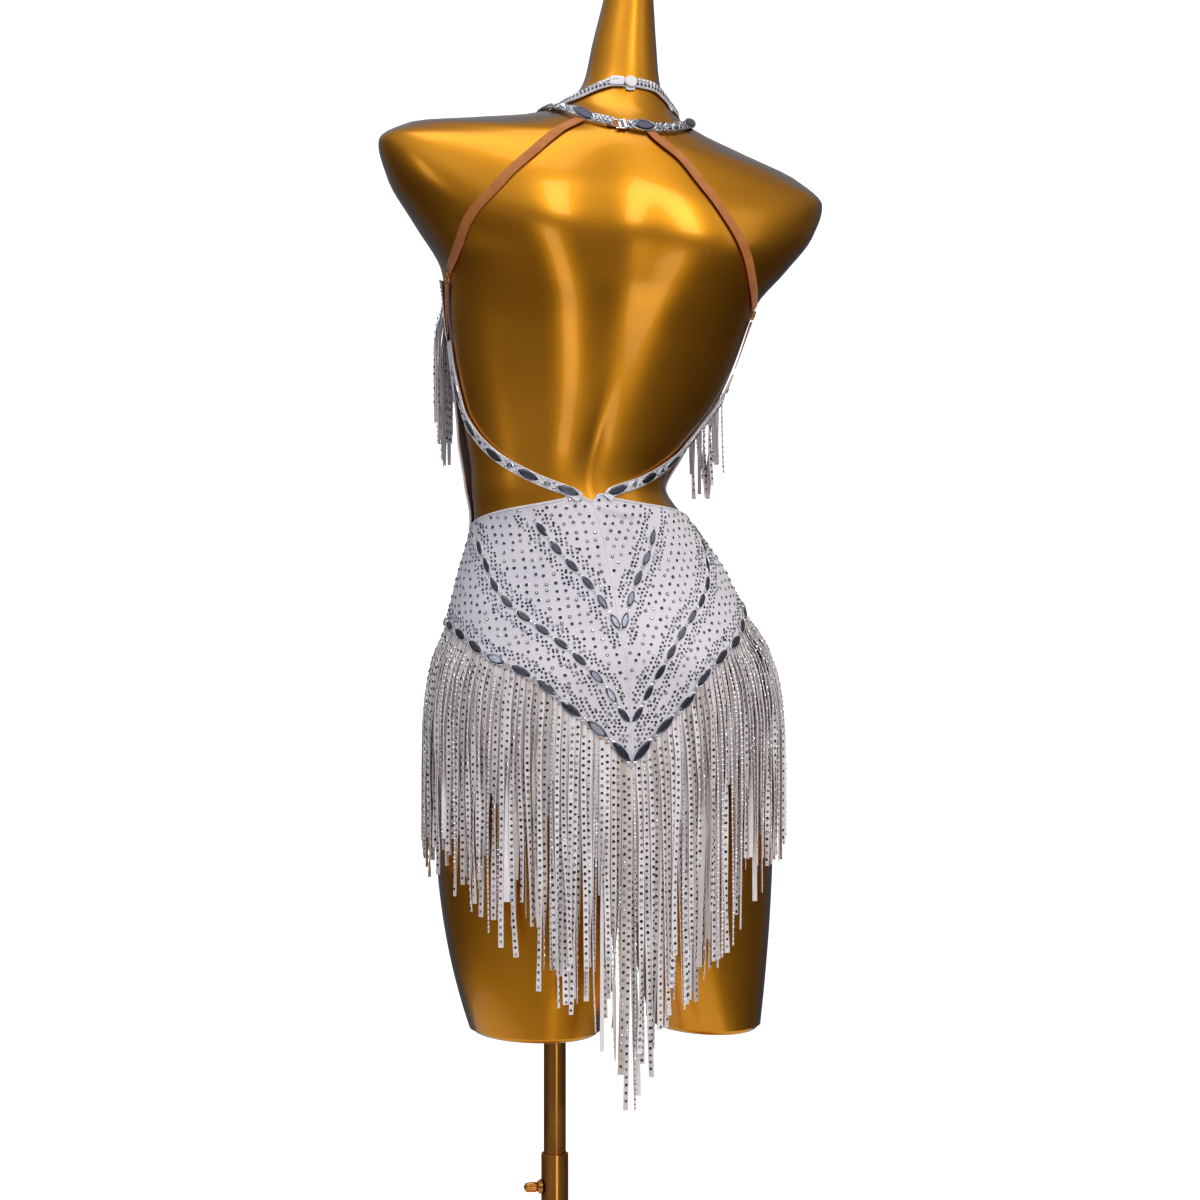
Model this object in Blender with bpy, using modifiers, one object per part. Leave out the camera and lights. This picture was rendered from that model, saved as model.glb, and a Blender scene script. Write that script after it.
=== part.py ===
"""Fringed dance dress worn by a limbless dress form on an adjustable stand.

Metres, +Z up.  The origin is the centre of the base plate's underside, on the pole's axis.
The back of the dress faces -Y, the wearer would face +Y and +X is the wearer's right.
The form and the cloth are worked out from one table of body sections: a place on the body is
a level (the height of the section's centre) and an angle round it (0 at the centre back,
positive towards +X), and every piece of cloth is such places moved out by a gap.
"""
import math
from collections import namedtuple

import bmesh
import bpy
from mathutils import Matrix, Vector

# ---- stand ----
SEAM_GAP = 0.0003
BASE_RADIUS = 0.190
BASE_RISE = 0.019
HUB_RADIUS = 0.034
HUB_TOP = 0.052
TUBE_RADIUS = 0.0135
TUBE_BORE = 0.0117
TUBE_TOP = 0.370
POLE_RADIUS = 0.0110
POLE_FOOT = 0.150
SOCKET_DEPTH = 0.120
SOCKET_CLEAR = 0.0004
SCREW_LEVEL = 0.337
SCREW_REACH = 0.0313
SCREW_SIDE = Vector((-1, 0, 0))
SHANK_RADIUS = 0.0025
SHANK_CLEAR = 0.0003
BOSS_FOOT = TUBE_RADIUS + 0.0007
BOSS_TOP = BOSS_FOOT + 0.0043
BOSS_RADIUS = 0.0076
KNOB_RADIUS = 0.0046

# ---- dress form ----
FORM_FOOT = 0.491
CROTCH = 0.745
SADDLE_RISE = 0.012
RING_POINTS = 40
SADDLE_POINTS = 7
LEG_RINGS = 11
RIM_ROUND = 0.005
RING_STEP = 0.0190
SHOULDER_STEP = 0.0085
SHOULDER_SPAN = (1.325, 1.445)

Round = namedtuple("Round", "rise inset")
THIGH_RIM = [Round(0.0035, 0.0020), Round(0.0008, 0.0050), Round(0.0, 0.0095)]
Cap = namedtuple("Cap", "rise scale")
NECK_CAP = [Cap(0.008, 0.86), Cap(0.013, 0.55)]

Section = namedtuple("Section", "level x y half back front power roll")
BODY = [
    Section(0.745, 0.053, 0.004, 0.173, 0.108, 0.092, 2.25, 1.0),
    Section(0.800, 0.051, 0.002, 0.172, 0.113, 0.090, 2.20, 2.0),
    Section(0.850, 0.048, 0.000, 0.166, 0.113, 0.092, 2.15, 3.0),
    Section(0.900, 0.042, 0.000, 0.150, 0.102, 0.094, 2.10, 3.5),
    Section(0.950, 0.036, 0.000, 0.131, 0.088, 0.092, 2.05, 3.0),
    Section(1.000, 0.026, 0.000, 0.107, 0.080, 0.088, 2.00, 1.0),
    Section(1.035, 0.014, 0.000, 0.098, 0.078, 0.085, 2.00, -1.0),
    Section(1.080, 0.022, 0.002, 0.112, 0.082, 0.088, 2.00, -3.0),
    Section(1.130, 0.034, 0.004, 0.134, 0.088, 0.092, 2.05, -5.0),
    Section(1.180, 0.041, 0.004, 0.148, 0.096, 0.092, 2.15, -6.0),
    Section(1.230, 0.046, 0.002, 0.159, 0.103, 0.090, 2.40, -6.0),
    Section(1.270, 0.048, 0.000, 0.188, 0.103, 0.084, 2.60, -6.0),
    Section(1.310, 0.049, -0.002, 0.218, 0.096, 0.076, 2.50, -6.0),
    Section(1.345, 0.050, -0.004, 0.230, 0.082, 0.068, 2.20, -6.0),
    Section(1.367, 0.051, -0.004, 0.202, 0.072, 0.062, 1.80, -5.8),
    Section(1.382, 0.056, -0.003, 0.146, 0.063, 0.058, 1.55, -5.2),
    Section(1.394, 0.063, 0.000, 0.096, 0.055, 0.054, 1.60, -4.5),
    Section(1.409, 0.068, 0.004, 0.059, 0.047, 0.048, 1.90, -4.0),
    Section(1.440, 0.072, 0.008, 0.038, 0.040, 0.042, 2.00, -3.0),
    Section(1.480, 0.076, 0.013, 0.032, 0.034, 0.036, 2.00, -1.0),
    Section(1.520, 0.081, 0.017, 0.026, 0.028, 0.030, 2.00, 0.0),
    Section(1.548, 0.084, 0.019, 0.022, 0.023, 0.024, 2.00, 0.0),
]

Relief = namedtuple("Relief", "angle level height half_angle half_level power")
RELIEF = [
    Relief(0.0, 1.210, -0.0085, 26.0, 0.120, 2.0),
    Relief(0.0, 1.060, -0.0040, 26.0, 0.050, 2.0),
    Relief(0.0, 1.065, -0.0028, 5.5, 0.045, 1.4),
    Relief(-46.0, 1.275, 0.008, 24.0, 0.055, 2.0),
    Relief(46.0, 1.275, 0.008, 24.0, 0.055, 2.0),
    Relief(-145.0, 1.195, 0.040, 21.0, 0.045, 2.0),
    Relief(145.0, 1.195, 0.040, 21.0, 0.045, 2.0),
]

Leg = namedtuple("Leg", "side x y half back front")
LEGS = [
    Leg(-1, -0.020, 0.000, 0.063, 0.082, 0.076),
    Leg(1, 0.156, 0.000, 0.053, 0.080, 0.074),
]
POLE_SIDE = -1

# ---- dress: every table is (degrees from the dress's centre back, level) unless it says so ----
DRESS_TURN = -3.0
SIDE_SEAM = 96.0
HIP_LEVEL = 0.90
CLOTH_GAP = 0.0018
CLOTH_WALL = 0.0016
BELLY_GAP = 0.0050
BELLY_LEVEL = 1.062
BELLY_HALF_ANGLE = 22.0
BELLY_HALF_LEVEL = 0.040
BACK_COLUMNS = 15
FRONT_COLUMNS = 13
YOKE_ROWS = 12
FRONT_ROWS = 18

Edge = namedtuple("Edge", "angle level")
YOKE_TOP = [
    Edge(0, 1.015), Edge(14, 1.018), Edge(36, 1.014), Edge(58, 1.009), Edge(76, 1.003),
    Edge(88, 0.997), Edge(96, 0.994),
]
YOKE_HEM = [
    Edge(0, 0.757), Edge(7, 0.774), Edge(16, 0.792), Edge(29, 0.816), Edge(38, 0.838),
    Edge(49, 0.856), Edge(60, 0.869), Edge(70, 0.885), Edge(82, 0.898), Edge(96, 0.903),
]
FRONT_TOP = [Edge(96, 1.160), Edge(120, 1.150), Edge(150, 1.144), Edge(180, 1.142)]
FRONT_HEM = [
    Edge(96, 0.903), Edge(112, 0.893), Edge(130, 0.868), Edge(150, 0.842), Edge(168, 0.818),
    Edge(180, 0.806),
]
FRINGE_END = [
    Edge(0, 0.425), Edge(8, 0.458), Edge(18, 0.497), Edge(30, 0.528), Edge(40, 0.552),
    Edge(50, 0.585), Edge(60, 0.618), Edge(75, 0.650), Edge(96, 0.672),
]
FRONT_FRINGE_END = [
    Edge(96, 0.672), Edge(115, 0.655), Edge(135, 0.630), Edge(155, 0.595), Edge(180, 0.550),
]
FRINGE_DROP = 0.0012
FRINGE_GAP = 0.0018
FRINGE_DEPTH = 0.0100
FRINGE_SWING = 0.0040
FRINGE_ROWS = 7

# ---- bodice: angles from the form's own centre back ----
CUP_SIDE = 97.0
CUP_CENTRE = 174.0
CUP_GAP = 0.0024
CUP_COLUMNS = 14
CUP_ROWS = 8
BUST_LEVEL = 1.19
CUP_TOP = [
    Edge(97, 1.222), Edge(112, 1.226), Edge(130, 1.246), Edge(146, 1.268), Edge(152, 1.268),
    Edge(160, 1.238), Edge(168, 1.205), Edge(174, 1.182),
]
CUP_FOOT = [Edge(97, 1.164), Edge(120, 1.152), Edge(150, 1.146), Edge(174, 1.144)]
BUST_FRINGE_TOP = [Edge(103, 1.200), Edge(125, 1.196), Edge(150, 1.190), Edge(171, 1.178)]
BUST_FRINGE_END = [Edge(103, 1.058), Edge(125, 1.046), Edge(150, 1.040), Edge(171, 1.062)]
BUST_FRINGE_DEPTH = 0.0080
BUST_FRINGE_GAP = CUP_GAP + CLOTH_WALL + 0.0012
BUST_FRINGE_COLUMNS = 9

# ---- straps: a row for each height, with the angle on the left and on the right ----
StrapRow = namedtuple("StrapRow", "level left right")
GEM_STRAP = [
    StrapRow(1.161, -91, 82), StrapRow(1.140, -90, 81), StrapRow(1.118, -88, 80),
    StrapRow(1.098, -86, 79), StrapRow(1.078, -78, 74), StrapRow(1.057, -63, 62),
    StrapRow(1.037, -38, 40), StrapRow(1.0235, -15, 14),
]
ELASTIC = [
    StrapRow(1.3770, -43, 24), StrapRow(1.358, -47, 37), StrapRow(1.327, -52, 42),
    StrapRow(1.300, -56, 46), StrapRow(1.275, -62, 50.5), StrapRow(1.252, -69, 57),
    StrapRow(1.238, -76, 64), StrapRow(1.2265, -83, 71),
]
STRAP_TAB = [StrapRow(1.2145, -87, 75), StrapRow(1.195, -90, 77), StrapRow(1.168, -92, 80)]
UPPER_BAND = [
    Edge(0, 1.4320), Edge(30, 1.4310), Edge(50, 1.4250), Edge(70, 1.4160), Edge(90, 1.4105),
    Edge(115, 1.4030), Edge(145, 1.3970), Edge(180, 1.3950),
]
LOWER_BAND = [
    Edge(24, 1.3840), Edge(38, 1.3863), Edge(52, 1.3910), Edge(70, 1.3985), Edge(90, 1.4020),
    Edge(112, 1.3930), Edge(130, 1.3700), Edge(141, 1.3400), Edge(147, 1.3050), Edge(149, 1.2725),
]
Ribbon = namedtuple("Ribbon", "width wall steps taper")
GEM_RIBBON = Ribbon(0.0105, 0.0022, 16, 1.0)
ELASTIC_RIBBON = Ribbon(0.0095, 0.0013, 14, 1.0)
TAB_RIBBON = Ribbon(0.0090, 0.0016, 5, 0.35)
CHOKER_RIBBON = Ribbon(0.0100, 0.0018, 44, 1.0)
HALTER_RIBBON = Ribbon(0.0100, 0.0022, 24, 1.0)
STRAP_GAP = 0.0016
RING_RADIUS = 0.0040
RING_WIRE = 0.0011

# ---- clasps: angles from the form's own centre back ----
CHOKER_GAP = (-33.0, 9.0)
SNAP_ANGLE = -4.0
SNAP_RADIUS = 0.0064
SNAP_HEIGHT = 0.0030
TAB_ANGLE = -21.5
TAB_SIZE = (0.0115, 0.0105, 0.0024)
TAB_CORNER = 0.0008
HALTER_GAP = (-17.0, 2.0)
HALTER_LEVEL = 1.3830
BUCKLE_ANGLE = -7.5
BUCKLE_HALF = (0.0054, 0.0071)
BUCKLE_CORNER = 0.0018
BUCKLE_WIRE = 0.0011


def monotone_curve(xs, ys):
    """Return a smooth function through a few points that never overshoots them."""
    slopes = [(ys[i + 1] - ys[i]) / (xs[i + 1] - xs[i]) for i in range(len(xs) - 1)]
    tangents = [slopes[0]]
    for before, after in zip(slopes, slopes[1:]):
        same_way = before * after > 0
        tangents.append(2 * before * after / (before + after) if same_way else 0.0)
    tangents.append(slopes[-1])

    def value(x):
        if x <= xs[0]:
            return ys[0] + tangents[0] * (x - xs[0])
        if x >= xs[-1]:
            return ys[-1] + tangents[-1] * (x - xs[-1])
        i = max(k for k in range(len(xs) - 1) if xs[k] <= x)
        step = xs[i + 1] - xs[i]
        t = (x - xs[i]) / step
        return (
            ys[i] * (1 + 2 * t) * (1 - t) ** 2
            + ys[i + 1] * t * t * (3 - 2 * t)
            + step * tangents[i] * t * (1 - t) ** 2
            - step * tangents[i + 1] * t * t * (1 - t)
        )

    return value


BODY_CURVES = {
    column: monotone_curve([row.level for row in BODY], [getattr(row, column) for row in BODY])
    for column in Section._fields[1:]
}


def section_at(level):
    """Read the body table at any level."""
    return Section(level, *(BODY_CURVES[column](level) for column in Section._fields[1:]))


def relief_at(level, degrees):
    """How far the form's own modelling stands out of its plain section."""
    total = 0.0
    for bump in RELIEF:
        turn = (degrees - bump.angle + 180) % 360 - 180
        across = abs(turn) / bump.half_angle
        along = (level - bump.level) / bump.half_level
        total += bump.height * math.exp(-(across**bump.power) - along * along)
    return total


def body_point(level, degrees, out=0.0):
    """The form's surface at a level and an angle, moved out along the section's ray."""
    row = section_at(level)
    angle = math.radians(degrees)
    side = math.sin(angle)
    rear = math.cos(angle)
    depth = row.back if rear > 0 else row.front
    span = (abs(side) / row.half) ** row.power + (abs(rear) / depth) ** row.power
    radius = span ** (-1 / row.power) + relief_at(level, degrees) + out
    across = radius * side
    roll = math.radians(row.roll)
    return Vector(
        (
            row.x + across * math.cos(roll),
            row.y - radius * rear,
            level + across * math.sin(roll),
        )
    )


def body_normal(level, degrees):
    """The form's outward normal there."""
    round_step = body_point(level, degrees + 1.0) - body_point(level, degrees - 1.0)
    up_step = body_point(level + 0.004, degrees) - body_point(level - 0.004, degrees)
    return round_step.cross(up_step).normalized()


def on_body(level, degrees, gap):
    """A place on the body, lifted off the form by a gap."""
    return body_point(level, degrees) + body_normal(level, degrees) * gap


def empty_scene():
    """Start from nothing, so that the script gives the same result each run."""
    for thing in list(bpy.data.objects):
        bpy.data.objects.remove(thing, do_unlink=True)


def make_material(name, colour, roughness, metallic=0.0):
    """A plain Principled finish."""
    material = bpy.data.materials.new(name)
    material.use_nodes = True
    shader = material.node_tree.nodes["Principled BSDF"]
    shader.inputs["Base Color"].default_value = (*colour, 1.0)
    shader.inputs["Roughness"].default_value = roughness
    shader.inputs["Metallic"].default_value = metallic
    material.diffuse_color = (*colour, 1.0)
    return material


def add_mesh(name, mesh, material, collection):
    """Put a finished mesh in the scene as a named object."""
    mesh.name = name
    mesh.materials.append(material)
    thing = bpy.data.objects.new(name, mesh)
    collection.objects.link(thing)
    return thing


def join_loops(work, loops, closed_ring):
    """Fill the bands between neighbouring loops of vertices with quads."""
    count = len(loops[0])
    last = count if closed_ring else count - 1
    for lower, upper in zip(loops, loops[1:]):
        for i in range(last):
            j = (i + 1) % count
            work.faces.new((lower[i], lower[j], upper[j], upper[i]))


def finish_mesh(name, work):
    """Turn the faces outwards, shade them smooth and hand the mesh over."""
    bmesh.ops.recalc_face_normals(work, faces=work.faces)
    mesh = bpy.data.meshes.new(name)
    work.to_mesh(mesh)
    work.free()
    mesh.shade_smooth()
    mesh.set_sharp_from_angle(angle=math.radians(40))
    return mesh


def ring_angles(level):
    """Angles that share out each quarter of a section's outline evenly."""
    fine = 30
    per_quarter = RING_POINTS // 4
    angles = []
    for quarter in range(4):
        samples = [90.0 * (quarter + k / fine) for k in range(fine + 1)]
        points = [body_point(level, angle) for angle in samples]
        run = [0.0]
        for here, after in zip(points, points[1:]):
            run.append(run[-1] + (after - here).length)
        angle_at = monotone_curve(run, samples)
        angles += [angle_at(run[-1] * k / per_quarter) for k in range(per_quarter)]
    return angles


def body_levels():
    """Levels of the form's rings: closer together where the shoulders turn in."""
    levels = [CROTCH]
    while levels[-1] < BODY[-1].level - 0.004:
        here = levels[-1]
        near_shoulder = SHOULDER_SPAN[0] < here < SHOULDER_SPAN[1]
        levels.append(here + (SHOULDER_STEP if near_shoulder else RING_STEP))
    return levels


def leg_ring(leg, loop, fall, inset=0.0):
    """One ring of a thigh stub; fall runs from 0 at the crotch to 1 at the cut."""
    half_ring = RING_POINTS // 2
    start = -45 if leg.side > 0 else 135
    ring = []
    for i, top in enumerate(loop):
        if i <= half_ring:
            degrees = start + 270 * i / half_ring
        else:
            degrees = start + 270 + 90 * (i - half_ring) / (SADDLE_POINTS + 1)
        angle = math.radians(degrees)
        side = math.sin(angle)
        rear = math.cos(angle)
        depth = leg.back if rear > 0 else leg.front
        foot = Vector(
            (
                leg.x + (leg.half - inset) * side,
                leg.y - (depth - inset) * rear,
                FORM_FOOT,
            )
        )
        late = 1.6 + 0.8 * side * leg.side
        point = top.lerp(foot, fall**late)
        point.z = top.z + (FORM_FOOT - top.z) * fall
        ring.append(point)
    return ring


def build_form(material, collection):
    """The smooth body: trunk, neck, shoulder caps, two cut thighs and the pole's socket."""
    work = bmesh.new()
    levels = body_levels()
    loops = []
    for level in levels:
        ring = [body_point(level, angle) for angle in ring_angles(level)]
        loops.append([work.verts.new(point) for point in ring])
    top = section_at(levels[-1])
    heart = Vector((top.x, top.y, levels[-1]))
    neck = [vert.co - heart for vert in loops[-1]]
    for cap in NECK_CAP:
        lift = heart + Vector((0, 0, cap.rise))
        loops.append([work.verts.new(lift + point * cap.scale) for point in neck])
    join_loops(work, loops, True)
    work.faces.new(loops[-1])

    crotch = loops[0]
    half_ring = RING_POINTS // 2
    back, front = crotch[0], crotch[half_ring]
    saddle = []
    for k in range(1, SADDLE_POINTS + 1):
        along = k / (SADDLE_POINTS + 1)
        point = front.co.lerp(back.co, along)
        point.z += SADDLE_RISE * math.sin(math.pi * along)
        saddle.append(work.verts.new(point))

    for leg in LEGS:
        if leg.side > 0:
            loop = crotch[: half_ring + 1] + saddle
        else:
            loop = crotch[half_ring:] + crotch[:1] + saddle[::-1]
        tops = [vert.co.copy() for vert in loop]
        leg_loops = [loop]
        straight = 1 - RIM_ROUND / (CROTCH - FORM_FOOT)
        for k in range(1, LEG_RINGS + 1):
            ring = leg_ring(leg, tops, straight * k / LEG_RINGS)
            leg_loops.append([work.verts.new(point) for point in ring])
        for rim in THIGH_RIM:
            ring = leg_ring(leg, tops, 1.0, rim.inset)
            for point in ring:
                point.z = FORM_FOOT + rim.rise
            leg_loops.append([work.verts.new(point) for point in ring])
        if leg.side == POLE_SIDE:
            leg_loops += socket_loops(work, leg_loops[-1], leg)
        join_loops(work, leg_loops, True)
        work.faces.new(leg_loops[-1])
    return add_mesh("dress_form", finish_mesh("dress_form", work), material, collection)


def socket_loops(work, rim, leg):
    """The blind hole in the stub's cut, where the pole goes in."""
    radius = POLE_RADIUS + SOCKET_CLEAR
    loops = []
    for z in (FORM_FOOT, FORM_FOOT + SOCKET_DEPTH):
        ring = []
        for vert in rim:
            angle = math.atan2(vert.co.y - leg.y, vert.co.x - leg.x)
            point = (radius * math.cos(angle), radius * math.sin(angle), z)
            ring.append(work.verts.new(point))
        loops.append(ring)
    return loops


def edge_curve(table):
    """A hem or a neckline as a smooth function of the angle."""
    return monotone_curve([row.angle for row in table], [row.level for row in table])


def spread(count):
    """Fractions from 0 to 1 in equal steps."""
    return [k / count for k in range(count + 1)]


def seam_shift(level, degrees, width=SEAM_GAP / 2):
    """The angle that a small width takes up at that place on the body."""
    row = section_at(level)
    reach = (body_point(level, degrees) - Vector((row.x, row.y, level))).length
    return math.degrees(width / reach)


def add_sheet(name, grid, wall, material, collection):
    """An open grid of points with a wall's thickness on its outer side."""
    work = bmesh.new()
    loops = [[work.verts.new(point) for point in row] for row in grid]
    join_loops(work, loops, False)
    mesh = bpy.data.meshes.new(name)
    work.to_mesh(mesh)
    work.free()
    mesh.shade_smooth()
    sheet = add_mesh(name, mesh, material, collection)
    thicken = sheet.modifiers.new("wall", "SOLIDIFY")
    thicken.thickness = wall
    thicken.offset = 1.0
    thicken.use_even_offset = False
    return sheet


def cloth_grid(angles, foot, top, rows, gap_at, turn=0.0):
    """Points of a panel between two edges, in rows from its foot to its top."""
    grid = []
    for rise in spread(rows):
        row = []
        for angle in angles:
            low = foot(abs(angle)) + SEAM_GAP / 2
            high = top(abs(angle)) - SEAM_GAP / 2
            level = low + (high - low) * rise
            row.append(on_body(level, angle + turn, gap_at(level, angle)))
        grid.append(row)
    return grid


def spaced_angles(start, end, count, level):
    """Angles with equal steps along the body between two seams."""
    samples = [start + (end - start) * k / 60 for k in range(61)]
    run = [0.0]
    for here, after in zip(samples, samples[1:]):
        run.append(run[-1] + (body_point(level, after) - body_point(level, here)).length)
    angle_at = monotone_curve(run, samples)
    return [angle_at(run[-1] * k / count) for k in range(count + 1)]


def back_angles():
    """Columns of a back yoke, and of the fringe below it, from its seam to its side."""
    start = seam_shift(HIP_LEVEL, 0)
    end = SIDE_SEAM - seam_shift(HIP_LEVEL, SIDE_SEAM)
    return spaced_angles(start, end, BACK_COLUMNS, HIP_LEVEL)


def front_angles():
    """Columns of half the front, from its side seam to the middle."""
    start = SIDE_SEAM + seam_shift(HIP_LEVEL, SIDE_SEAM)
    return spaced_angles(start, 180, FRONT_COLUMNS, HIP_LEVEL)


def build_yokes(material, collection):
    """Two back yokes with a seam at the centre back and one at each side."""
    for name, side in (("back_yoke_left", -1), ("back_yoke_right", 1)):
        angles = [side * angle for angle in back_angles()]
        foot, top = edge_curve(YOKE_HEM), edge_curve(YOKE_TOP)
        grid = cloth_grid(angles, foot, top, YOKE_ROWS, lambda *_: CLOTH_GAP, DRESS_TURN)
        if side < 0:
            grid = [row[::-1] for row in grid]
        add_sheet(name, grid, CLOTH_WALL, material, collection)


def belly_gap(level, angle):
    """The front panel spans the hollow of the waist near its side edges."""
    edge = (angle - SIDE_SEAM) / BELLY_HALF_ANGLE
    waist = (level - BELLY_LEVEL) / BELLY_HALF_LEVEL
    return CLOTH_GAP + BELLY_GAP * math.exp(-edge * edge - waist * waist)


def build_front(material, collection):
    """One front panel from the bust seam to its V hem, between the side edges."""
    half = front_angles()
    foot, top = edge_curve(FRONT_HEM), edge_curve(FRONT_TOP)
    angles = half + [360 - angle for angle in half[-2::-1]]

    def folded(table):
        return lambda angle: table(min(angle, 360 - angle))

    def gap_at(level, angle):
        return belly_gap(level, min(angle, 360 - angle))

    grid = cloth_grid(angles, folded(foot), folded(top), FRONT_ROWS, gap_at, DRESS_TURN)
    add_sheet("front_panel", grid, CLOTH_WALL, material, collection)


def build_cups(material, collection):
    """Two halter cups over the bust."""
    foot, top = edge_curve(CUP_FOOT), edge_curve(CUP_TOP)
    for name, side in (("cup_left", -1), ("cup_right", 1)):
        columns = spaced_angles(CUP_SIDE, CUP_CENTRE, CUP_COLUMNS, BUST_LEVEL)
        angles = [side * angle for angle in columns]
        grid = cloth_grid(angles, foot, top, CUP_ROWS, lambda *_: CUP_GAP)
        if side < 0:
            grid = [row[::-1] for row in grid]
        add_sheet(name, grid, CLOTH_WALL, material, collection)


def fringe_column(angle, turn, top_level, drop, gap, rows):
    """A strand's path: over the body while it widens, then straight down."""
    around = math.radians(angle + turn)
    ray = Vector((math.sin(around), -math.cos(around), 0))
    start = on_body(top_level, angle + turn, gap)
    reach = 0.0
    checked = top_level
    column = []
    for fall in spread(rows):
        level = top_level - drop * fall
        while checked > max(level, BODY[0].level):
            reach = max(reach, (on_body(checked, angle + turn, gap) - start).dot(ray))
            checked -= 0.004
        place = start + ray * (reach + FRINGE_SWING * min(1.0, 3 * fall))
        column.append(Vector((place.x, place.y, start.z - drop * fall)))
    return column


def build_fringe(name, angles, turn, tops, ends, gap, depth, material, collection):
    """The plain solid of a fringe's reach, a curtain from its seam to its ends."""
    columns = []
    for angle in angles:
        flat = min(abs(angle), 360 - abs(angle))
        top_level = tops(flat) - FRINGE_DROP
        drop = top_level - ends(flat)
        columns.append(fringe_column(angle, turn, top_level, drop, gap, FRINGE_ROWS))
    grid = [list(row) for row in zip(*columns)][::-1]
    if angles[0] > angles[-1]:
        grid = [row[::-1] for row in grid]
    add_sheet(name, grid, depth, material, collection)


def build_hip_fringe(material, collection):
    """Two curtains that hang from the V hems, one behind and one in front."""
    half = back_angles()
    back = [-angle for angle in half[:0:-1]] + [0.0] + half[1:]
    half = front_angles()
    front = half + [360 - angle for angle in half[-2::-1]]
    for name, angles, hem, ends in (
        ("hip_fringe_back", back, YOKE_HEM, FRINGE_END),
        ("hip_fringe_front", front, FRONT_HEM, FRONT_FRINGE_END),
    ):
        build_fringe(
            name, angles, DRESS_TURN, edge_curve(hem), edge_curve(ends),
            FRINGE_GAP, FRINGE_DEPTH, material, collection,
        )


def build_bust_fringe(material, collection):
    """A curtain from each cup that falls clear of the ribs."""
    start, end = BUST_FRINGE_TOP[0].angle, BUST_FRINGE_TOP[-1].angle
    half = spaced_angles(start, end, BUST_FRINGE_COLUMNS, BUST_LEVEL)
    for word, sign in (("left", -1), ("right", 1)):
        build_fringe(
            "bust_fringe_" + word, [sign * angle for angle in half], 0.0,
            edge_curve(BUST_FRINGE_TOP), edge_curve(BUST_FRINGE_END),
            BUST_FRINGE_GAP, BUST_FRINGE_DEPTH, material, collection,
        )


def build_ribbon(name, path, ribbon, material, collection):
    """A flat strap along (angle, level) places on the body."""
    steps = ribbon.steps
    order = list(range(len(path)))
    angle_at = monotone_curve(order, [place[0] for place in path])
    level_at = monotone_curve(order, [place[1] for place in path])
    spots = [order[-1] * fraction for fraction in spread(steps)]
    middle = [on_body(level_at(t), angle_at(t), STRAP_GAP) for t in spots]
    inner, outer = [], []
    for i, point in enumerate(middle):
        ahead = middle[min(i + 1, steps)] - middle[max(i - 1, 0)]
        normal = body_normal(level_at(spots[i]), angle_at(spots[i]))
        side = normal.cross(ahead).normalized()
        half = ribbon.width / 2 * (1 + (ribbon.taper - 1) * i / steps)
        inner.append(point - side * half)
        outer.append(point + side * half)
    add_sheet(name, [inner, outer], ribbon.wall, material, collection)


def build_straps(finishes, collection):
    """Gem straps to the yoke, elastic straps to the shoulders, their rings and tabs."""
    for word in ("left", "right"):
        gem, elastic, tab = (
            [(getattr(row, word), row.level) for row in table]
            for table in (GEM_STRAP, ELASTIC, STRAP_TAB)
        )
        build_ribbon("gem_strap_" + word, gem, GEM_RIBBON, finishes["silver"], collection)
        build_ribbon("elastic_strap_" + word, elastic, ELASTIC_RIBBON, finishes["tan"], collection)
        build_ribbon("strap_tab_" + word, tab, TAB_RIBBON, finishes["tan"], collection)
        ring_angle = (elastic[-1][0] + tab[0][0]) / 2
        ring_level = (elastic[-1][1] + tab[0][1]) / 2
        build_ring("strap_ring_" + word, ring_angle, ring_level, finishes["brass"], collection)


def stand_on_body(thing, level, degrees, gap):
    """Lay a piece made about its own Z axis on the body."""
    normal = body_normal(level, degrees)
    up = Vector((0, 0, 1))
    flat = up.cross(normal).normalized()
    rise = normal.cross(flat)
    thing.matrix_world = matrix_from_axes(flat, rise, normal, on_body(level, degrees, gap))


def matrix_from_axes(x_axis, y_axis, z_axis, place):
    """A placing matrix from three directions and an origin."""
    return Matrix(
        (
            (x_axis.x, y_axis.x, z_axis.x, place.x),
            (x_axis.y, y_axis.y, z_axis.y, place.y),
            (x_axis.z, y_axis.z, z_axis.z, place.z),
            (0, 0, 0, 1),
        )
    )


def adopt(thing, name, material, collection):
    """Name an object made by an operator and move it to the parts."""
    for home in list(thing.users_collection):
        home.objects.unlink(thing)
    collection.objects.link(thing)
    thing.name = name
    thing.data.name = name
    thing.data.materials.append(material)
    thing.data.shade_smooth()
    thing.data.set_sharp_from_angle(angle=math.radians(40))
    return thing


def build_ring(name, degrees, level, material, collection):
    """A strap ring lying flat on the body."""
    bpy.ops.mesh.primitive_torus_add(
        major_radius=RING_RADIUS, minor_radius=RING_WIRE, major_segments=18, minor_segments=6
    )
    ring = adopt(bpy.context.object, name, material, collection)
    stand_on_body(ring, level, degrees, STRAP_GAP + RING_WIRE)


def build_neck_bands(finishes, collection):
    """The choker, open behind for its clasp, and the two halves of the halter."""
    level_at = edge_curve(UPPER_BAND)
    start, end = CHOKER_GAP[1], 360 + CHOKER_GAP[0]
    turns = [start + (end - start) * fraction for fraction in spread(14)]
    choker = [(angle, level_at(min(angle, 360 - angle))) for angle in turns]
    build_ribbon("upper_neck_band", choker, CHOKER_RIBBON, finishes["silver"], collection)
    for word, sign, first in (("left", -1, HALTER_GAP[0]), ("right", 1, HALTER_GAP[1])):
        halter = [(first, HALTER_LEVEL)]
        halter += [(sign * row.angle, row.level) for row in LOWER_BAND]
        name = "lower_neck_band_" + word
        build_ribbon(name, halter, HALTER_RIBBON, finishes["silver"], collection)


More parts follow.
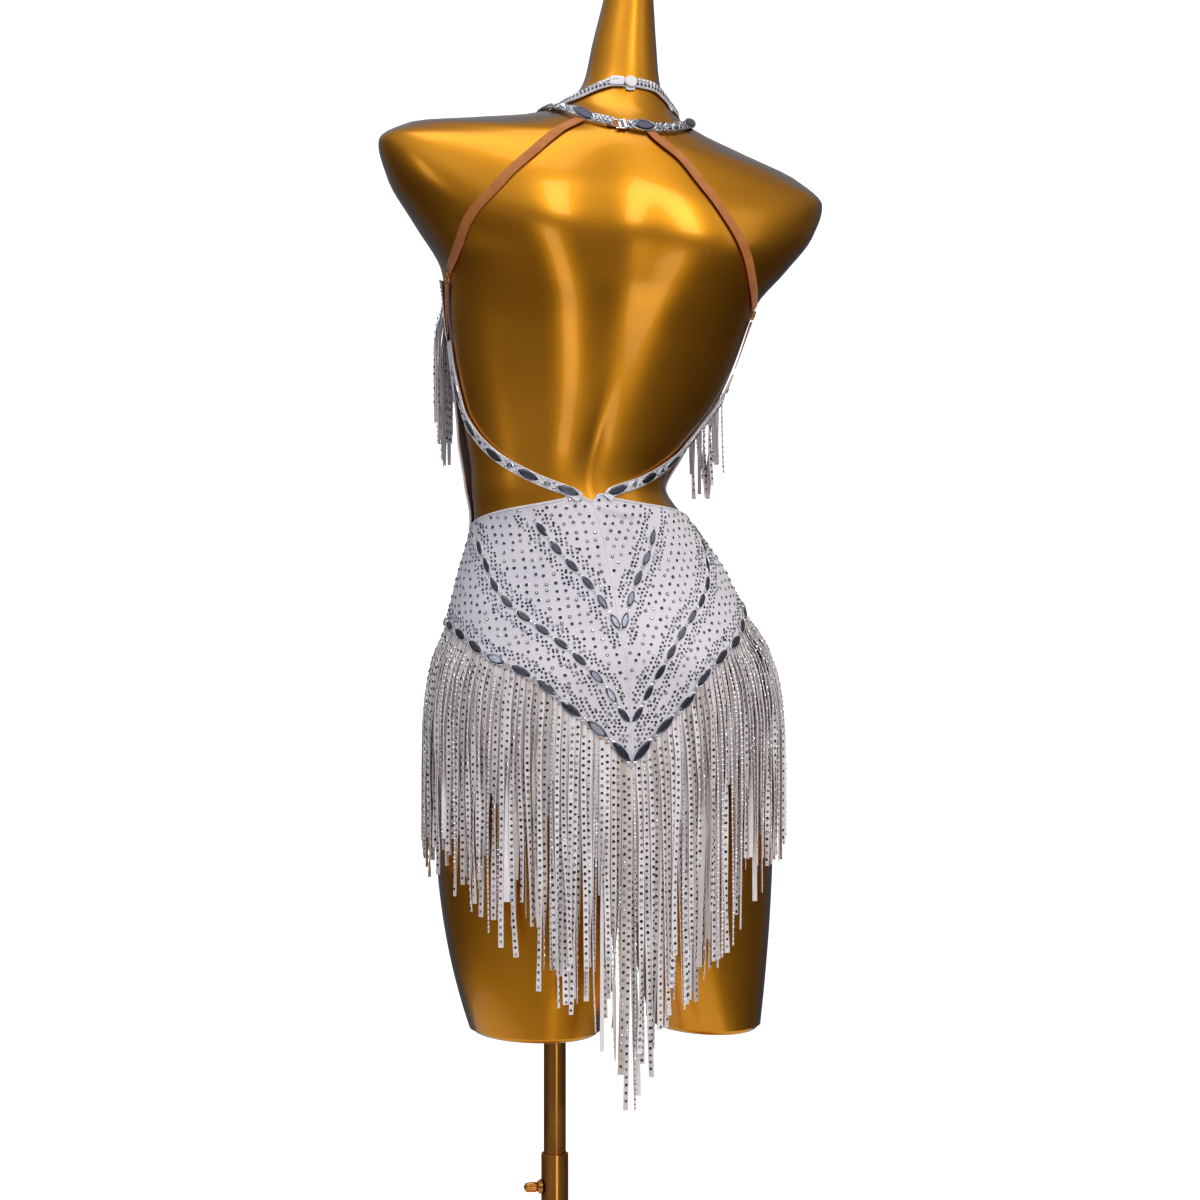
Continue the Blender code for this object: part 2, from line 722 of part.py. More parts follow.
def build_choker_clasp(material, collection):
    """A flat tab with rounded edges, and the round snap beside it."""
    level = edge_curve(UPPER_BAND)(0)
    bpy.ops.mesh.primitive_cube_add(size=1)
    tab = adopt(bpy.context.object, "upper_clasp_tab", material, collection)
    tab.data.transform(Matrix.Diagonal((*TAB_SIZE, 1)))
    bevel = tab.modifiers.new("rounded", "BEVEL")
    bevel.width = TAB_CORNER
    bevel.segments = 2
    stand_on_body(tab, level, TAB_ANGLE, STRAP_GAP + TAB_SIZE[2] / 2)

    profile = [
        (0, SNAP_HEIGHT), (SNAP_RADIUS - 0.0016, SNAP_HEIGHT),
        (SNAP_RADIUS - 0.0004, SNAP_HEIGHT - 0.0006), (SNAP_RADIUS, SNAP_HEIGHT - 0.0016),
        (SNAP_RADIUS - 0.0005, 0), (0, 0),
    ]
    snap = build_turned("upper_clasp_snap", profile, False, 20, material, collection)
    stand_on_body(snap, level, SNAP_ANGLE, STRAP_GAP)


def build_buckle(material, collection):
    """The halter's buckle, a square of wire with its corners cut."""
    half_wide, half_tall = BUCKLE_HALF
    corners = []
    for x_sign, y_sign in ((1, 1), (-1, 1), (-1, -1), (1, -1)):
        ends = [(x_sign * half_wide, y_sign * (half_tall - BUCKLE_CORNER))]
        ends.append((x_sign * (half_wide - BUCKLE_CORNER), y_sign * half_tall))
        corners += ends if x_sign == y_sign else ends[::-1]
    outline = bpy.data.curves.new("lower_clasp", "CURVE")
    outline.dimensions = "3D"
    outline.bevel_depth = BUCKLE_WIRE
    outline.bevel_resolution = 1
    outline.materials.append(material)
    spline = outline.splines.new("POLY")
    spline.points.add(len(corners) - 1)
    for point, (x, y) in zip(spline.points, corners):
        point.co = (x, y, 0, 1)
    spline.use_cyclic_u = True
    buckle = bpy.data.objects.new("lower_clasp", outline)
    collection.objects.link(buckle)
    stand_on_body(buckle, HALTER_LEVEL, BUCKLE_ANGLE, STRAP_GAP + BUCKLE_WIRE)


def build_turned(name, profile, closed, steps, material, collection):
    """A turned piece from its outer side, given from top to bottom as (radius, height)."""
    work = bmesh.new()
    verts = [work.verts.new((radius, 0, height)) for radius, height in profile]
    for here, after in zip(verts, verts[1:]):
        work.edges.new((here, after))
    if closed:
        work.edges.new((verts[-1], verts[0]))
    mesh = bpy.data.meshes.new(name)
    work.to_mesh(mesh)
    work.free()
    piece = add_mesh(name, mesh, material, collection)
    screw = piece.modifiers.new("turn", "SCREW")
    screw.steps = steps
    screw.render_steps = steps
    screw.use_merge_vertices = True
    screw.merge_threshold = 0.00001
    screw.use_smooth_shade = True
    return piece


def build_stand(material, collection):
    """Round base plate with its hub, the outer tube and the pole that slides in it."""
    plate = [
        (0, BASE_RISE), (0.060, BASE_RISE), (0.120, BASE_RISE - 0.003),
        (BASE_RADIUS - 0.014, BASE_RISE - 0.009), (BASE_RADIUS - 0.003, BASE_RISE - 0.013),
        (BASE_RADIUS, 0.003), (BASE_RADIUS - 0.001, 0), (0, 0),
    ]
    build_turned("base_plate", plate, False, 48, material, collection)
    floor = BASE_RISE + SEAM_GAP
    bore = TUBE_RADIUS + SEAM_GAP
    hub = [
        (bore, HUB_TOP), (bore + 0.005, HUB_TOP), (bore + 0.007, HUB_TOP - 0.003),
        (bore + 0.010, 0.030), (HUB_RADIUS - 0.003, 0.023), (HUB_RADIUS, 0.0215),
        (HUB_RADIUS, floor), (bore, floor),
    ]
    build_turned("base_hub", hub, True, 28, material, collection)
    tube = [
        (TUBE_BORE, TUBE_TOP), (TUBE_RADIUS - 0.0003, TUBE_TOP), (TUBE_RADIUS, TUBE_TOP - 0.0006),
        (TUBE_RADIUS, floor), (TUBE_BORE, floor),
    ]
    outer = build_turned("outer_tube", tube, True, 28, material, collection)
    pole_top = FORM_FOOT + SOCKET_DEPTH - SEAM_GAP
    pole = [
        (0, pole_top), (POLE_RADIUS - 0.001, pole_top), (POLE_RADIUS, pole_top - 0.001),
        (POLE_RADIUS, POLE_FOOT + 0.001), (POLE_RADIUS - 0.001, POLE_FOOT), (0, POLE_FOOT),
    ]
    build_turned("inner_pole", pole, False, 28, material, collection)
    return outer


def build_thumb_screw(tube, material, collection):
    """The screw that clamps the pole, the flared boss on the tube and the hole behind it."""
    up = Vector((0, 0, 1))
    facing = matrix_from_axes(up.cross(SCREW_SIDE), up, SCREW_SIDE, up * SCREW_LEVEL)
    bore = SHANK_RADIUS + SHANK_CLEAR
    boss = [
        (bore, BOSS_TOP), (bore + 0.0016, BOSS_TOP), (0.0066, BOSS_FOOT + 0.0016),
        (BOSS_RADIUS, BOSS_FOOT + 0.0004), (BOSS_RADIUS, BOSS_FOOT), (bore, BOSS_FOOT),
    ]
    build_turned("screw_boss", boss, True, 20, material, collection).matrix_world = facing
    knob_foot = BOSS_TOP + SEAM_GAP
    shank_end = POLE_RADIUS + SOCKET_CLEAR
    knob = [
        (0, SCREW_REACH), (0.0024, SCREW_REACH - 0.0003), (0.0040, SCREW_REACH - 0.0018),
        (KNOB_RADIUS, SCREW_REACH - 0.0048), (0.0052, knob_foot + 0.0012), (0.0046, knob_foot),
        (SHANK_RADIUS, knob_foot), (SHANK_RADIUS, shank_end), (0, shank_end),
    ]
    build_turned("thumb_screw", knob, False, 20, material, collection).matrix_world = facing
    drill_hole(tube, facing, bore)


def drill_hole(tube, facing, radius):
    """The screw's way through the tube's wall."""
    cutters = bpy.data.collections.new("cutters")
    bpy.context.scene.collection.children.link(cutters)
    bpy.ops.mesh.primitive_cylinder_add(vertices=20, radius=radius, depth=TUBE_RADIUS)
    cutter = bpy.context.object
    cutter.name = "screw_hole_cutter"
    for home in list(cutter.users_collection):
        home.objects.unlink(cutter)
    cutters.objects.link(cutter)
    cutter.data.transform(Matrix.Translation((0, 0, TUBE_RADIUS)))
    cutter.matrix_world = facing
    cutter.hide_render = True
    cutter.display_type = "WIRE"
    cut = tube.modifiers.new("screw_hole", "BOOLEAN")
    cut.operation = "DIFFERENCE"
    cut.object = cutter
    cut.solver = "EXACT"


def main():
    """Build every piece."""
    empty_scene()
    parts = bpy.data.collections.new("dance_dress_on_form")
    bpy.context.scene.collection.children.link(parts)
    finishes = {
        "gold": make_material("form_gold", (0.62, 0.38, 0.08), 0.28, 0.9),
        "bronze": make_material("pole_bronze", (0.34, 0.20, 0.07), 0.25, 0.95),
        "white": make_material("white_stretch", (0.84, 0.83, 0.86), 0.6),
        "fringe": make_material("fringe_tape", (0.80, 0.78, 0.80), 0.45),
        "silver": make_material("gem_silver", (0.62, 0.63, 0.68), 0.3, 0.5),
        "tan": make_material("tan_elastic", (0.55, 0.30, 0.14), 0.7),
        "brass": make_material("ring_brass", (0.75, 0.50, 0.20), 0.25, 1.0),
        "plastic": make_material("clasp_white", (0.86, 0.86, 0.88), 0.35),
        "steel": make_material("buckle_steel", (0.80, 0.80, 0.82), 0.2, 1.0),
    }
    tube = build_stand(finishes["bronze"], parts)
    build_thumb_screw(tube, finishes["bronze"], parts)
    build_form(finishes["gold"], parts)
    build_yokes(finishes["white"], parts)
    build_front(finishes["white"], parts)
    build_cups(finishes["white"], parts)
    build_hip_fringe(finishes["fringe"], parts)
    build_bust_fringe(finishes["fringe"], parts)
    build_straps(finishes, parts)
    build_neck_bands(finishes, parts)
    build_choker_clasp(finishes["plastic"], parts)
    build_buckle(finishes["steel"], parts)


main()
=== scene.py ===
"""Looks of a fringed dance dress, its dress form and the stand that carries them.

Metres, +Z up.  The back of the dress faces -Y, +X is the wearer's right.  A place on the body is
a level (the height of the section's centre) and an angle round it (0 at the centre back, positive
towards +X).  Form, cloth, chains and fringe all come from the one table of body sections.
"""
import math
import random
from collections import namedtuple
from functools import lru_cache
from itertools import cycle

import bmesh
import bpy
from mathutils import Matrix, Vector, kdtree


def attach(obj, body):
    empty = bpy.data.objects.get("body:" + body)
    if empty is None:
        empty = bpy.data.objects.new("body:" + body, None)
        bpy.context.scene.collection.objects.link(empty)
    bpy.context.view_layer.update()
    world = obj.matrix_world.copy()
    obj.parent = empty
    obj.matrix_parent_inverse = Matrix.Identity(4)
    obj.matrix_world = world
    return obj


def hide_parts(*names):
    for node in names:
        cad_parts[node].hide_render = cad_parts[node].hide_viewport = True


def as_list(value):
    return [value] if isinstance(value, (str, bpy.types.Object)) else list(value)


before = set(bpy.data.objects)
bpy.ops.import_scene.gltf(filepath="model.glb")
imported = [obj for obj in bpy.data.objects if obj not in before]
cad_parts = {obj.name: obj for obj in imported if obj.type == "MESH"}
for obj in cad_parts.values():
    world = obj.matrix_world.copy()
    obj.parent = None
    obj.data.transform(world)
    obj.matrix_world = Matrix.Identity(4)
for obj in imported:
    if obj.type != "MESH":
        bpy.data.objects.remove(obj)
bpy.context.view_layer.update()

# ---- stand ----
BASE_RADIUS = 0.190
BASE_RISE = 0.019
HUB_RADIUS = 0.034
HUB_TOP = 0.052
TUBE_RADIUS = 0.0135
TUBE_BORE = 0.0117
TUBE_TOP = 0.370
POLE_RADIUS = 0.0110
POLE_FOOT = 0.150
SOCKET_DEPTH = 0.120
SOCKET_CLEAR = 0.0004
SEAM_GAP = 0.0003
SCREW_LEVEL = 0.337
SCREW_REACH = 0.0313
SCREW_SIDE = Vector((-1, 0, 0))
SHANK_RADIUS = 0.0025
BOSS_FOOT = TUBE_RADIUS + 0.0007
BOSS_TOP = BOSS_FOOT + 0.0043
BOSS_RADIUS = 0.0076
KNOB_RADIUS = 0.0046
KNOB_RIBS = 16
TURN_STEPS = 96

# ---- dress form ----
FORM_FOOT = 0.491
CROTCH = 0.745
SADDLE_RISE = 0.012
RING_POINTS = 112
SADDLE_POINTS = 19
LEG_RINGS = 30
RIM_ROUND = 0.005
RING_STEP = 0.0075
SHOULDER_STEP = 0.0042
SHOULDER_SPAN = (1.325, 1.445)
Round = namedtuple("Round", "rise inset")
THIGH_RIM = [
    Round(0.0062, 0.0008), Round(0.0035, 0.0020), Round(0.0017, 0.0034), Round(0.0008, 0.0050),
    Round(0.0002, 0.0072), Round(0.0, 0.0095),
]
Cap = namedtuple("Cap", "rise scale")
NECK_CAP = [
    Cap(0.0045, 0.955), Cap(0.008, 0.86), Cap(0.011, 0.71), Cap(0.013, 0.50), Cap(0.0138, 0.25),
]

Section = namedtuple("Section", "level x y half back front power roll")
BODY = [
    Section(0.745, 0.053, 0.004, 0.173, 0.108, 0.092, 2.25, 1.0),
    Section(0.800, 0.051, 0.002, 0.172, 0.113, 0.090, 2.20, 2.0),
    Section(0.850, 0.048, 0.000, 0.166, 0.113, 0.092, 2.15, 3.0),
    Section(0.900, 0.042, 0.000, 0.150, 0.102, 0.094, 2.10, 3.5),
    Section(0.950, 0.036, 0.000, 0.131, 0.088, 0.092, 2.05, 3.0),
    Section(1.000, 0.026, 0.000, 0.107, 0.080, 0.088, 2.00, 1.0),
    Section(1.035, 0.014, 0.000, 0.098, 0.078, 0.085, 2.00, -1.0),
    Section(1.080, 0.022, 0.002, 0.112, 0.082, 0.088, 2.00, -3.0),
    Section(1.130, 0.034, 0.004, 0.134, 0.088, 0.092, 2.05, -5.0),
    Section(1.180, 0.041, 0.004, 0.148, 0.096, 0.092, 2.15, -6.0),
    Section(1.230, 0.046, 0.002, 0.159, 0.103, 0.090, 2.40, -6.0),
    Section(1.270, 0.048, 0.000, 0.188, 0.103, 0.084, 2.60, -6.0),
    Section(1.310, 0.049, -0.002, 0.218, 0.096, 0.076, 2.50, -6.0),
    Section(1.345, 0.050, -0.004, 0.230, 0.082, 0.068, 2.20, -6.0),
    Section(1.367, 0.051, -0.004, 0.202, 0.072, 0.062, 1.80, -5.8),
    Section(1.382, 0.056, -0.003, 0.146, 0.063, 0.058, 1.55, -5.2),
    Section(1.394, 0.063, 0.000, 0.096, 0.055, 0.054, 1.60, -4.5),
    Section(1.409, 0.068, 0.004, 0.059, 0.047, 0.048, 1.90, -4.0),
    Section(1.440, 0.072, 0.008, 0.038, 0.040, 0.042, 2.00, -3.0),
    Section(1.480, 0.076, 0.013, 0.032, 0.034, 0.036, 2.00, -1.0),
    Section(1.520, 0.081, 0.017, 0.026, 0.028, 0.030, 2.00, 0.0),
    Section(1.548, 0.084, 0.019, 0.022, 0.023, 0.024, 2.00, 0.0),
]
Relief = namedtuple("Relief", "angle level height half_angle half_level power")
RELIEF = [
    Relief(0.0, 1.210, -0.0085, 26.0, 0.120, 2.0),
    Relief(0.0, 1.060, -0.0040, 26.0, 0.050, 2.0),
    Relief(0.0, 1.065, -0.0028, 5.5, 0.045, 1.4),
    Relief(-46.0, 1.275, 0.008, 24.0, 0.055, 2.0),
    Relief(46.0, 1.275, 0.008, 24.0, 0.055, 2.0),
    Relief(-145.0, 1.195, 0.040, 21.0, 0.045, 2.0),
    Relief(145.0, 1.195, 0.040, 21.0, 0.045, 2.0),
]
Leg = namedtuple("Leg", "side x y half back front")
LEGS = [
    Leg(-1, -0.020, 0.000, 0.063, 0.082, 0.076),
    Leg(1, 0.156, 0.000, 0.053, 0.080, 0.074),
]
POLE_SIDE = -1

# ---- cloth: edge tables are (degrees from the dress's centre back, level) ----
DRESS_TURN = -3.0
SIDE_SEAM = 96.0
HIP_LEVEL = 0.90
BUST_LEVEL = 1.19
CLOTH_GAP = 0.0018
CLOTH_WALL = 0.0011
BELLY_GAP = 0.0050
BELLY_LEVEL = 1.062
BELLY_HALF_ANGLE = 22.0
BELLY_HALF_LEVEL = 0.040
CUP_GAP = 0.0024
YOKE_GRID = (88, 72)
FRONT_GRID = (132, 100)
CUP_GRID = (44, 32)
METRES_PER_DEGREE = 0.0026

Edge = namedtuple("Edge", "angle level")
YOKE_TOP = [
    Edge(0, 1.0150), Edge(4, 1.0185), Edge(8, 1.0225), Edge(13, 1.0228), Edge(19, 1.0185),
    Edge(26, 1.0165), Edge(36, 1.014), Edge(58, 1.009), Edge(76, 1.003), Edge(88, 0.997),
    Edge(96, 0.994),
]
YOKE_HEM = [
    Edge(0, 0.757), Edge(7, 0.774), Edge(16, 0.792), Edge(29, 0.816), Edge(38, 0.838),
    Edge(49, 0.856), Edge(60, 0.869), Edge(70, 0.885), Edge(82, 0.898), Edge(96, 0.903),
]
FRONT_TOP = [Edge(96, 1.160), Edge(120, 1.150), Edge(150, 1.144), Edge(180, 1.142)]
FRONT_HEM = [
    Edge(96, 0.903), Edge(112, 0.893), Edge(130, 0.868), Edge(150, 0.842), Edge(168, 0.818),
    Edge(180, 0.806),
]
CUP_SIDE = 97.0
CUP_CENTRE = 174.0
CUP_TOP = [
    Edge(97, 1.222), Edge(112, 1.226), Edge(130, 1.246), Edge(146, 1.268), Edge(152, 1.268),
    Edge(160, 1.238), Edge(168, 1.205), Edge(174, 1.182),
]
CUP_FOOT = [Edge(97, 1.164), Edge(120, 1.152), Edge(150, 1.146), Edge(174, 1.144)]

Crease = namedtuple("Crease", "angle level end_angle end_level width height")
CREASES = [
    Crease(0.5, 1.010, 26, 1.001, 0.0026, 0.0022),
    Crease(2, 1.0045, 26, 0.9955, 0.0026, -0.0010),
    Crease(-2, 1.006, -14, 1.011, 0.0030, 0.0007),
    Crease(-88, 0.985, -60, 0.960, 0.0050, 0.0007),
    Crease(86, 0.985, 60, 0.962, 0.0050, 0.0007),
    Crease(-92, 0.960, -70, 0.930, 0.0060, 0.0006),
    Crease(92, 0.955, 72, 0.925, 0.0060, 0.0006),
    Crease(-40, 0.985, -18, 0.945, 0.0070, 0.0004),
    Crease(40, 0.985, 18, 0.945, 0.0070, 0.0004),
    Crease(100, 1.070, 130, 1.050, 0.0060, 0.0008),
    Crease(-100, 1.070, -130, 1.050, 0.0060, 0.0008),
    Crease(104, 1.040, 140, 1.032, 0.0055, -0.0006),
    Crease(-104, 1.040, -140, 1.032, 0.0055, -0.0006),
    Crease(150, 1.140, 140, 1.100, 0.0060, 0.0008),
    Crease(-150, 1.140, -140, 1.100, 0.0060, 0.0008),
    Crease(172, 1.138, 175, 1.090, 0.0045, 0.0007),
]

# ---- stones and chains ----
BACK_CHAINS = [
    [Edge(0, 0.888), Edge(4, 0.904), Edge(11.5, 0.928), Edge(21, 0.950), Edge(30.5, 0.970),
     Edge(39, 0.992), Edge(45, 1.006)],
    [Edge(0, 0.800), Edge(5, 0.815), Edge(11, 0.836), Edge(17, 0.852), Edge(26, 0.873),
     Edge(38, 0.895), Edge(50, 0.915), Edge(60, 0.936), Edge(69, 0.964), Edge(82, 0.992)],
]
FRONT_CHAINS = [
    [Edge(98, 1.010), Edge(115, 0.985), Edge(135, 0.950), Edge(155, 0.905), Edge(171, 0.868),
     Edge(180, 0.852)],
    [Edge(98, 1.100), Edge(115, 1.078), Edge(135, 1.045), Edge(155, 1.005), Edge(171, 0.968),
     Edge(180, 0.950)],
]
HEM_CHAIN_RISE = 0.0052
HEM_PROUD = 0.0010
Navette = namedtuple("Navette", "length width gap")
YOKE_NAVETTE = Navette(0.0205, 0.0074, 0.0026)
HEM_NAVETTE = Navette(0.0300, 0.0096, 0.0036)
HEM_END_NAVETTE = Navette(0.0200, 0.0086, 0.0036)
FIELD_PITCH = 0.0091
FIELD_JITTER = 0.0014
FIELD_STONE = (0.00180, 0.00215)
BESIDE_PITCH = 0.0043
BESIDE_JITTER = 0.0010
BESIDE_STONE = (0.00125, 0.00170)
CHAIN_CLEAR = 0.0050
BESIDE_REACH = 0.0160
STONE_SEAT = CLOTH_WALL - 0.0001
BINDING_SEAT = CLOTH_WALL - 0.0002
SEAM_SEAT = CLOTH_WALL - 0.0003
CHAIN_START = 0.002
NAVETTE_SLIM = 0.36
OVAL_SLIM = 0.55
ROW_STEP = 0.866
OUT_PROBE = 0.002

# ---- fringe ----
FRINGE_END = [
    Edge(0, 0.425), Edge(8, 0.458), Edge(18, 0.497), Edge(30, 0.528), Edge(40, 0.552),
    Edge(50, 0.585), Edge(60, 0.618), Edge(75, 0.650), Edge(96, 0.672),
]
FRONT_FRINGE_END = [
    Edge(96, 0.672), Edge(115, 0.655), Edge(135, 0.630), Edge(155, 0.595), Edge(180, 0.550),
]
BUST_FRINGE_TOP = [Edge(103, 1.200), Edge(125, 1.196), Edge(150, 1.190), Edge(171, 1.178)]
BUST_FRINGE_END = [
    Edge(103, 1.068), Edge(110, 1.048), Edge(117, 1.036), Edge(121, 1.036), Edge(124, 1.112),
    Edge(136, 1.108), Edge(140, 1.050), Edge(155, 1.042), Edge(171, 1.062),
]
BUST_FRINGE_START = {"left": 103.0, "right": 108.0}
FRINGE_DROP = 0.0012
FRINGE_GAP = 0.0018
FRINGE_SWING = 0.0040
BUST_FRINGE_GAP = CUP_GAP + CLOTH_WALL + 0.0017
TAPE_PITCH = 0.0053
TAPE_WIDTH = (0.0044, 0.0062)
TAPE_WALL = 0.10
TAPE_ROWS = 22
Layer = namedtuple("Layer", "lift widen short calm")
HIP_LAYERS = [
    Layer(0.0002, 1.25, (0.34, 0.50), True), Layer(0.0008, 1.10, (0.70, 0.97), False),
    Layer(0.0048, 1.0, (0.76, 1.0), False),
]
BUST_LAYERS = [
    Layer(0.0001, 1.2, (0.40, 0.55), True), Layer(0.0006, 1.0, (0.70, 0.95), False),
    Layer(0.0034, 0.95, (0.72, 1.0), False),
]
STRAND_JITTER = 0.35
STRAND_TURN = 22
STRAND_SWAY = 0.0014
STRAND_LEAN = 0.0034
STRAND_RIPPLES = (0.10, 0.16, 0.34, 0.55)
STRING_SHARE = 0.24
TWIST_SHARE = 0.20
TWIST_TURN = (50, 160)
FRINGE_LEVEL = 0.86
TAPE_STONE = 0.00185
TAPE_STONE_PITCH = (0.0062, 0.0076)
STRING_STONE_PITCH = 0.0041
TIP_REACH = 3.2
STRING_WIDTH = (0.0014, 0.0020)

# ---- straps, bands and clasps: angles from the form's own centre back ----
StrapRow = namedtuple("StrapRow", "level left right")
GEM_STRAP = [
    StrapRow(1.161, -91, 82), StrapRow(1.140, -90, 81), StrapRow(1.118, -88, 80),
    StrapRow(1.098, -86, 79), StrapRow(1.078, -78, 74), StrapRow(1.057, -63, 62),
    StrapRow(1.037, -38, 40), StrapRow(1.0235, -15, 14),
]
ELASTIC = [
    StrapRow(1.3770, -43, 24), StrapRow(1.358, -47, 37), StrapRow(1.327, -52, 42),
    StrapRow(1.300, -56, 46), StrapRow(1.275, -62, 50.5), StrapRow(1.252, -69, 57),
    StrapRow(1.238, -76, 64), StrapRow(1.2265, -83, 71),
]
STRAP_TAB = [StrapRow(1.2145, -87, 75), StrapRow(1.195, -90, 77), StrapRow(1.168, -92, 80)]
UPPER_BAND = [
    Edge(0, 1.4320), Edge(30, 1.4310), Edge(50, 1.4250), Edge(70, 1.4160), Edge(90, 1.4105),
    Edge(115, 1.4030), Edge(145, 1.3970), Edge(180, 1.3950),
]
LOWER_BAND = [
    Edge(24, 1.3840), Edge(38, 1.3863), Edge(52, 1.3910), Edge(70, 1.3985), Edge(90, 1.4020),
    Edge(112, 1.3930), Edge(130, 1.3700), Edge(141, 1.3400), Edge(147, 1.3050), Edge(149, 1.2725),
]
STRAP_GAP = 0.0016
YOKE_LAP = 0.0022
RING_RADIUS = 0.0040
RING_WIRE = 0.0011
CHOKER_GAP = (-33.0, 9.0)
SNAP_ANGLE = -4.0
SNAP_RADIUS = 0.0064
SNAP_HEIGHT = 0.0030
TAB_ANGLE = -21.5
TAB_SIZE = (0.0115, 0.0105, 0.0024)
HALTER_GAP = (-14.5, -1.5)
HALTER_LEVEL = 1.3830
HALTER_FACING = 0.30
BUCKLE_ANGLE = -7.5
BUCKLE_HALF = (0.0054, 0.0071)
BUCKLE_WIRE = 0.0011

# ---- view ----
CAMERA_TURN = math.radians(-16.0)
CAMERA_REACH = 2.75
CAMERA_AIM = Vector((0.0468, 0.0, 0.920))
CAMERA_LENS = 82.5
CAMERA_SENSOR = 36.0


# ======== body ========
def monotone_curve(xs, ys):
    """A smooth function through a few points that never overshoots them."""
    slopes = [(ys[i + 1] - ys[i]) / (xs[i + 1] - xs[i]) for i in range(len(xs) - 1)]
    tangents = [slopes[0]]
    for before, after in zip(slopes, slopes[1:]):
        same_way = before * after > 0
        tangents.append(2 * before * after / (before + after) if same_way else 0.0)
    tangents.append(slopes[-1])

    def value(x):
        if x <= xs[0]:
            return ys[0] + tangents[0] * (x - xs[0])
        if x >= xs[-1]:
            return ys[-1] + tangents[-1] * (x - xs[-1])
        i = max(k for k in range(len(xs) - 1) if xs[k] <= x)
        step = xs[i + 1] - xs[i]
        t = (x - xs[i]) / step
        return (
            ys[i] * (1 + 2 * t) * (1 - t) ** 2
            + ys[i + 1] * t * t * (3 - 2 * t)
            + step * tangents[i] * t * (1 - t) ** 2
            - step * tangents[i + 1] * t * t * (1 - t)
        )

    return value


BODY_CURVES = {
    column: monotone_curve([row.level for row in BODY], [getattr(row, column) for row in BODY])
    for column in Section._fields[1:]
}


@lru_cache(maxsize=None)
def section_at(level):
    """The body table read at any level."""
    return Section(level, *(BODY_CURVES[column](level) for column in Section._fields[1:]))


def relief_at(level, degrees):
    """How far the form's own modelling stands out of its plain section."""
    total = 0.0
    for bump in RELIEF:
        along = (level - bump.level) / bump.half_level
        if abs(along) > 4:
            continue
        turn = (degrees - bump.angle + 180) % 360 - 180
        across = abs(turn) / bump.half_angle
        total += bump.height * math.exp(-(across**bump.power) - along * along)
    return total


def body_point(level, degrees, out=0.0):
    """The form's surface at a level and an angle, moved out along the section's ray."""
    row = section_at(level)
    angle = math.radians(degrees)
    side = math.sin(angle)
    rear = math.cos(angle)
    depth = row.back if rear > 0 else row.front
    span = (abs(side) / row.half) ** row.power + (abs(rear) / depth) ** row.power
    radius = span ** (-1 / row.power) + relief_at(level, degrees) + out
    across = radius * side
    roll = math.radians(row.roll)
    return Vector(
        (
            row.x + across * math.cos(roll),
            row.y - radius * rear,
            level + across * math.sin(roll),
        )
    )


def body_normal(level, degrees):
    """The form's outward normal there."""
    round_step = body_point(level, degrees + 1.0) - body_point(level, degrees - 1.0)
    up_step = body_point(level + 0.004, degrees) - body_point(level - 0.004, degrees)
    return round_step.cross(up_step).normalized()


def on_body(level, degrees, gap):
    """A place on the body, lifted off the form by a gap."""
    return body_point(level, degrees) + body_normal(level, degrees) * gap


def edge_curve(table):
    """A hem or a neckline as a smooth function of the angle."""
    return monotone_curve([row.angle for row in table], [row.level for row in table])


def spread(count):
    """Fractions from 0 to 1 in equal steps."""
    return [k / count for k in range(count + 1)]


def between(start, end, count):
    """Values from start to end in equal steps."""
    return [start + (end - start) * share for share in spread(count)]


def running_length(points):
    """The distance along a line of points, at each of them."""
    run = [0.0]
    for here, after in zip(points, points[1:]):
        run.append(run[-1] + (after - here).length)
    return run


def shared_out(level, samples, count):
    """Angles with equal steps along the body over a span of sampled angles."""
    run = running_length([body_point(level, angle) for angle in samples])
    angle_at = monotone_curve(run, samples)
    return [angle_at(run[-1] * k / count) for k in range(count + 1)]


def span_samples(start, end):
    """Angles to measure a span by."""
    return [start + (end - start) * k / 60 for k in range(61)]


def spaced_angles(start, end, count, level):
    """Angles with equal steps along the body between two seams."""
    return shared_out(level, span_samples(start, end), count)


def arc_length(start, end, level):
    """How far it is round the body between two angles."""
    return running_length([body_point(level, angle) for angle in span_samples(start, end)])[-1]


def fold(angle):
    """The same place on the other half of the dress, as an angle from 0 to 180."""
    turn = angle % 360
    return min(turn, 360 - turn)


# ======== objects, meshes and nodes ========
def new_piece(name, mesh, *finishes):
    """Put a mesh in the scene as a named piece."""
    name = name.replace(" ", "_")
    mesh.name = name
    for finish in finishes:
        mesh.materials.append(finish)
    piece = bpy.data.objects.new(name, mesh)
    bpy.context.scene.collection.objects.link(piece)
    return piece


def mesh_of(name, points, faces, edges=()):
    """A mesh from lists of points and faces."""
    mesh = bpy.data.meshes.new(name)
    mesh.from_pydata([tuple(point) for point in points], list(edges), faces)
    mesh.update()
    return mesh


def grid_mesh(name, grid, chart=None, ring=False):
    """Quads over rows of points; chart gives each point its place on the flat cloth."""
    wide = len(grid[0])
    last = wide if ring else wide - 1
    faces = []
    for r in range(len(grid) - 1):
        for c in range(last):
            d = (c + 1) % wide
            faces.append((r * wide + c, r * wide + d, (r + 1) * wide + d, (r + 1) * wide + c))
    mesh = mesh_of(name, [point for row in grid for point in row], faces)
    if chart:
        flat = [place for row in chart for place in row]
        layer = mesh.uv_layers.new(name="cut")
        for loop in mesh.loops:
            layer.data[loop.index].uv = flat[loop.vertex_index]
    mesh.shade_smooth()
    return mesh


def vert_loops(work, loops):
    """Vertices for loops of points."""
    return [[work.verts.new(point) for point in loop] for loop in loops]


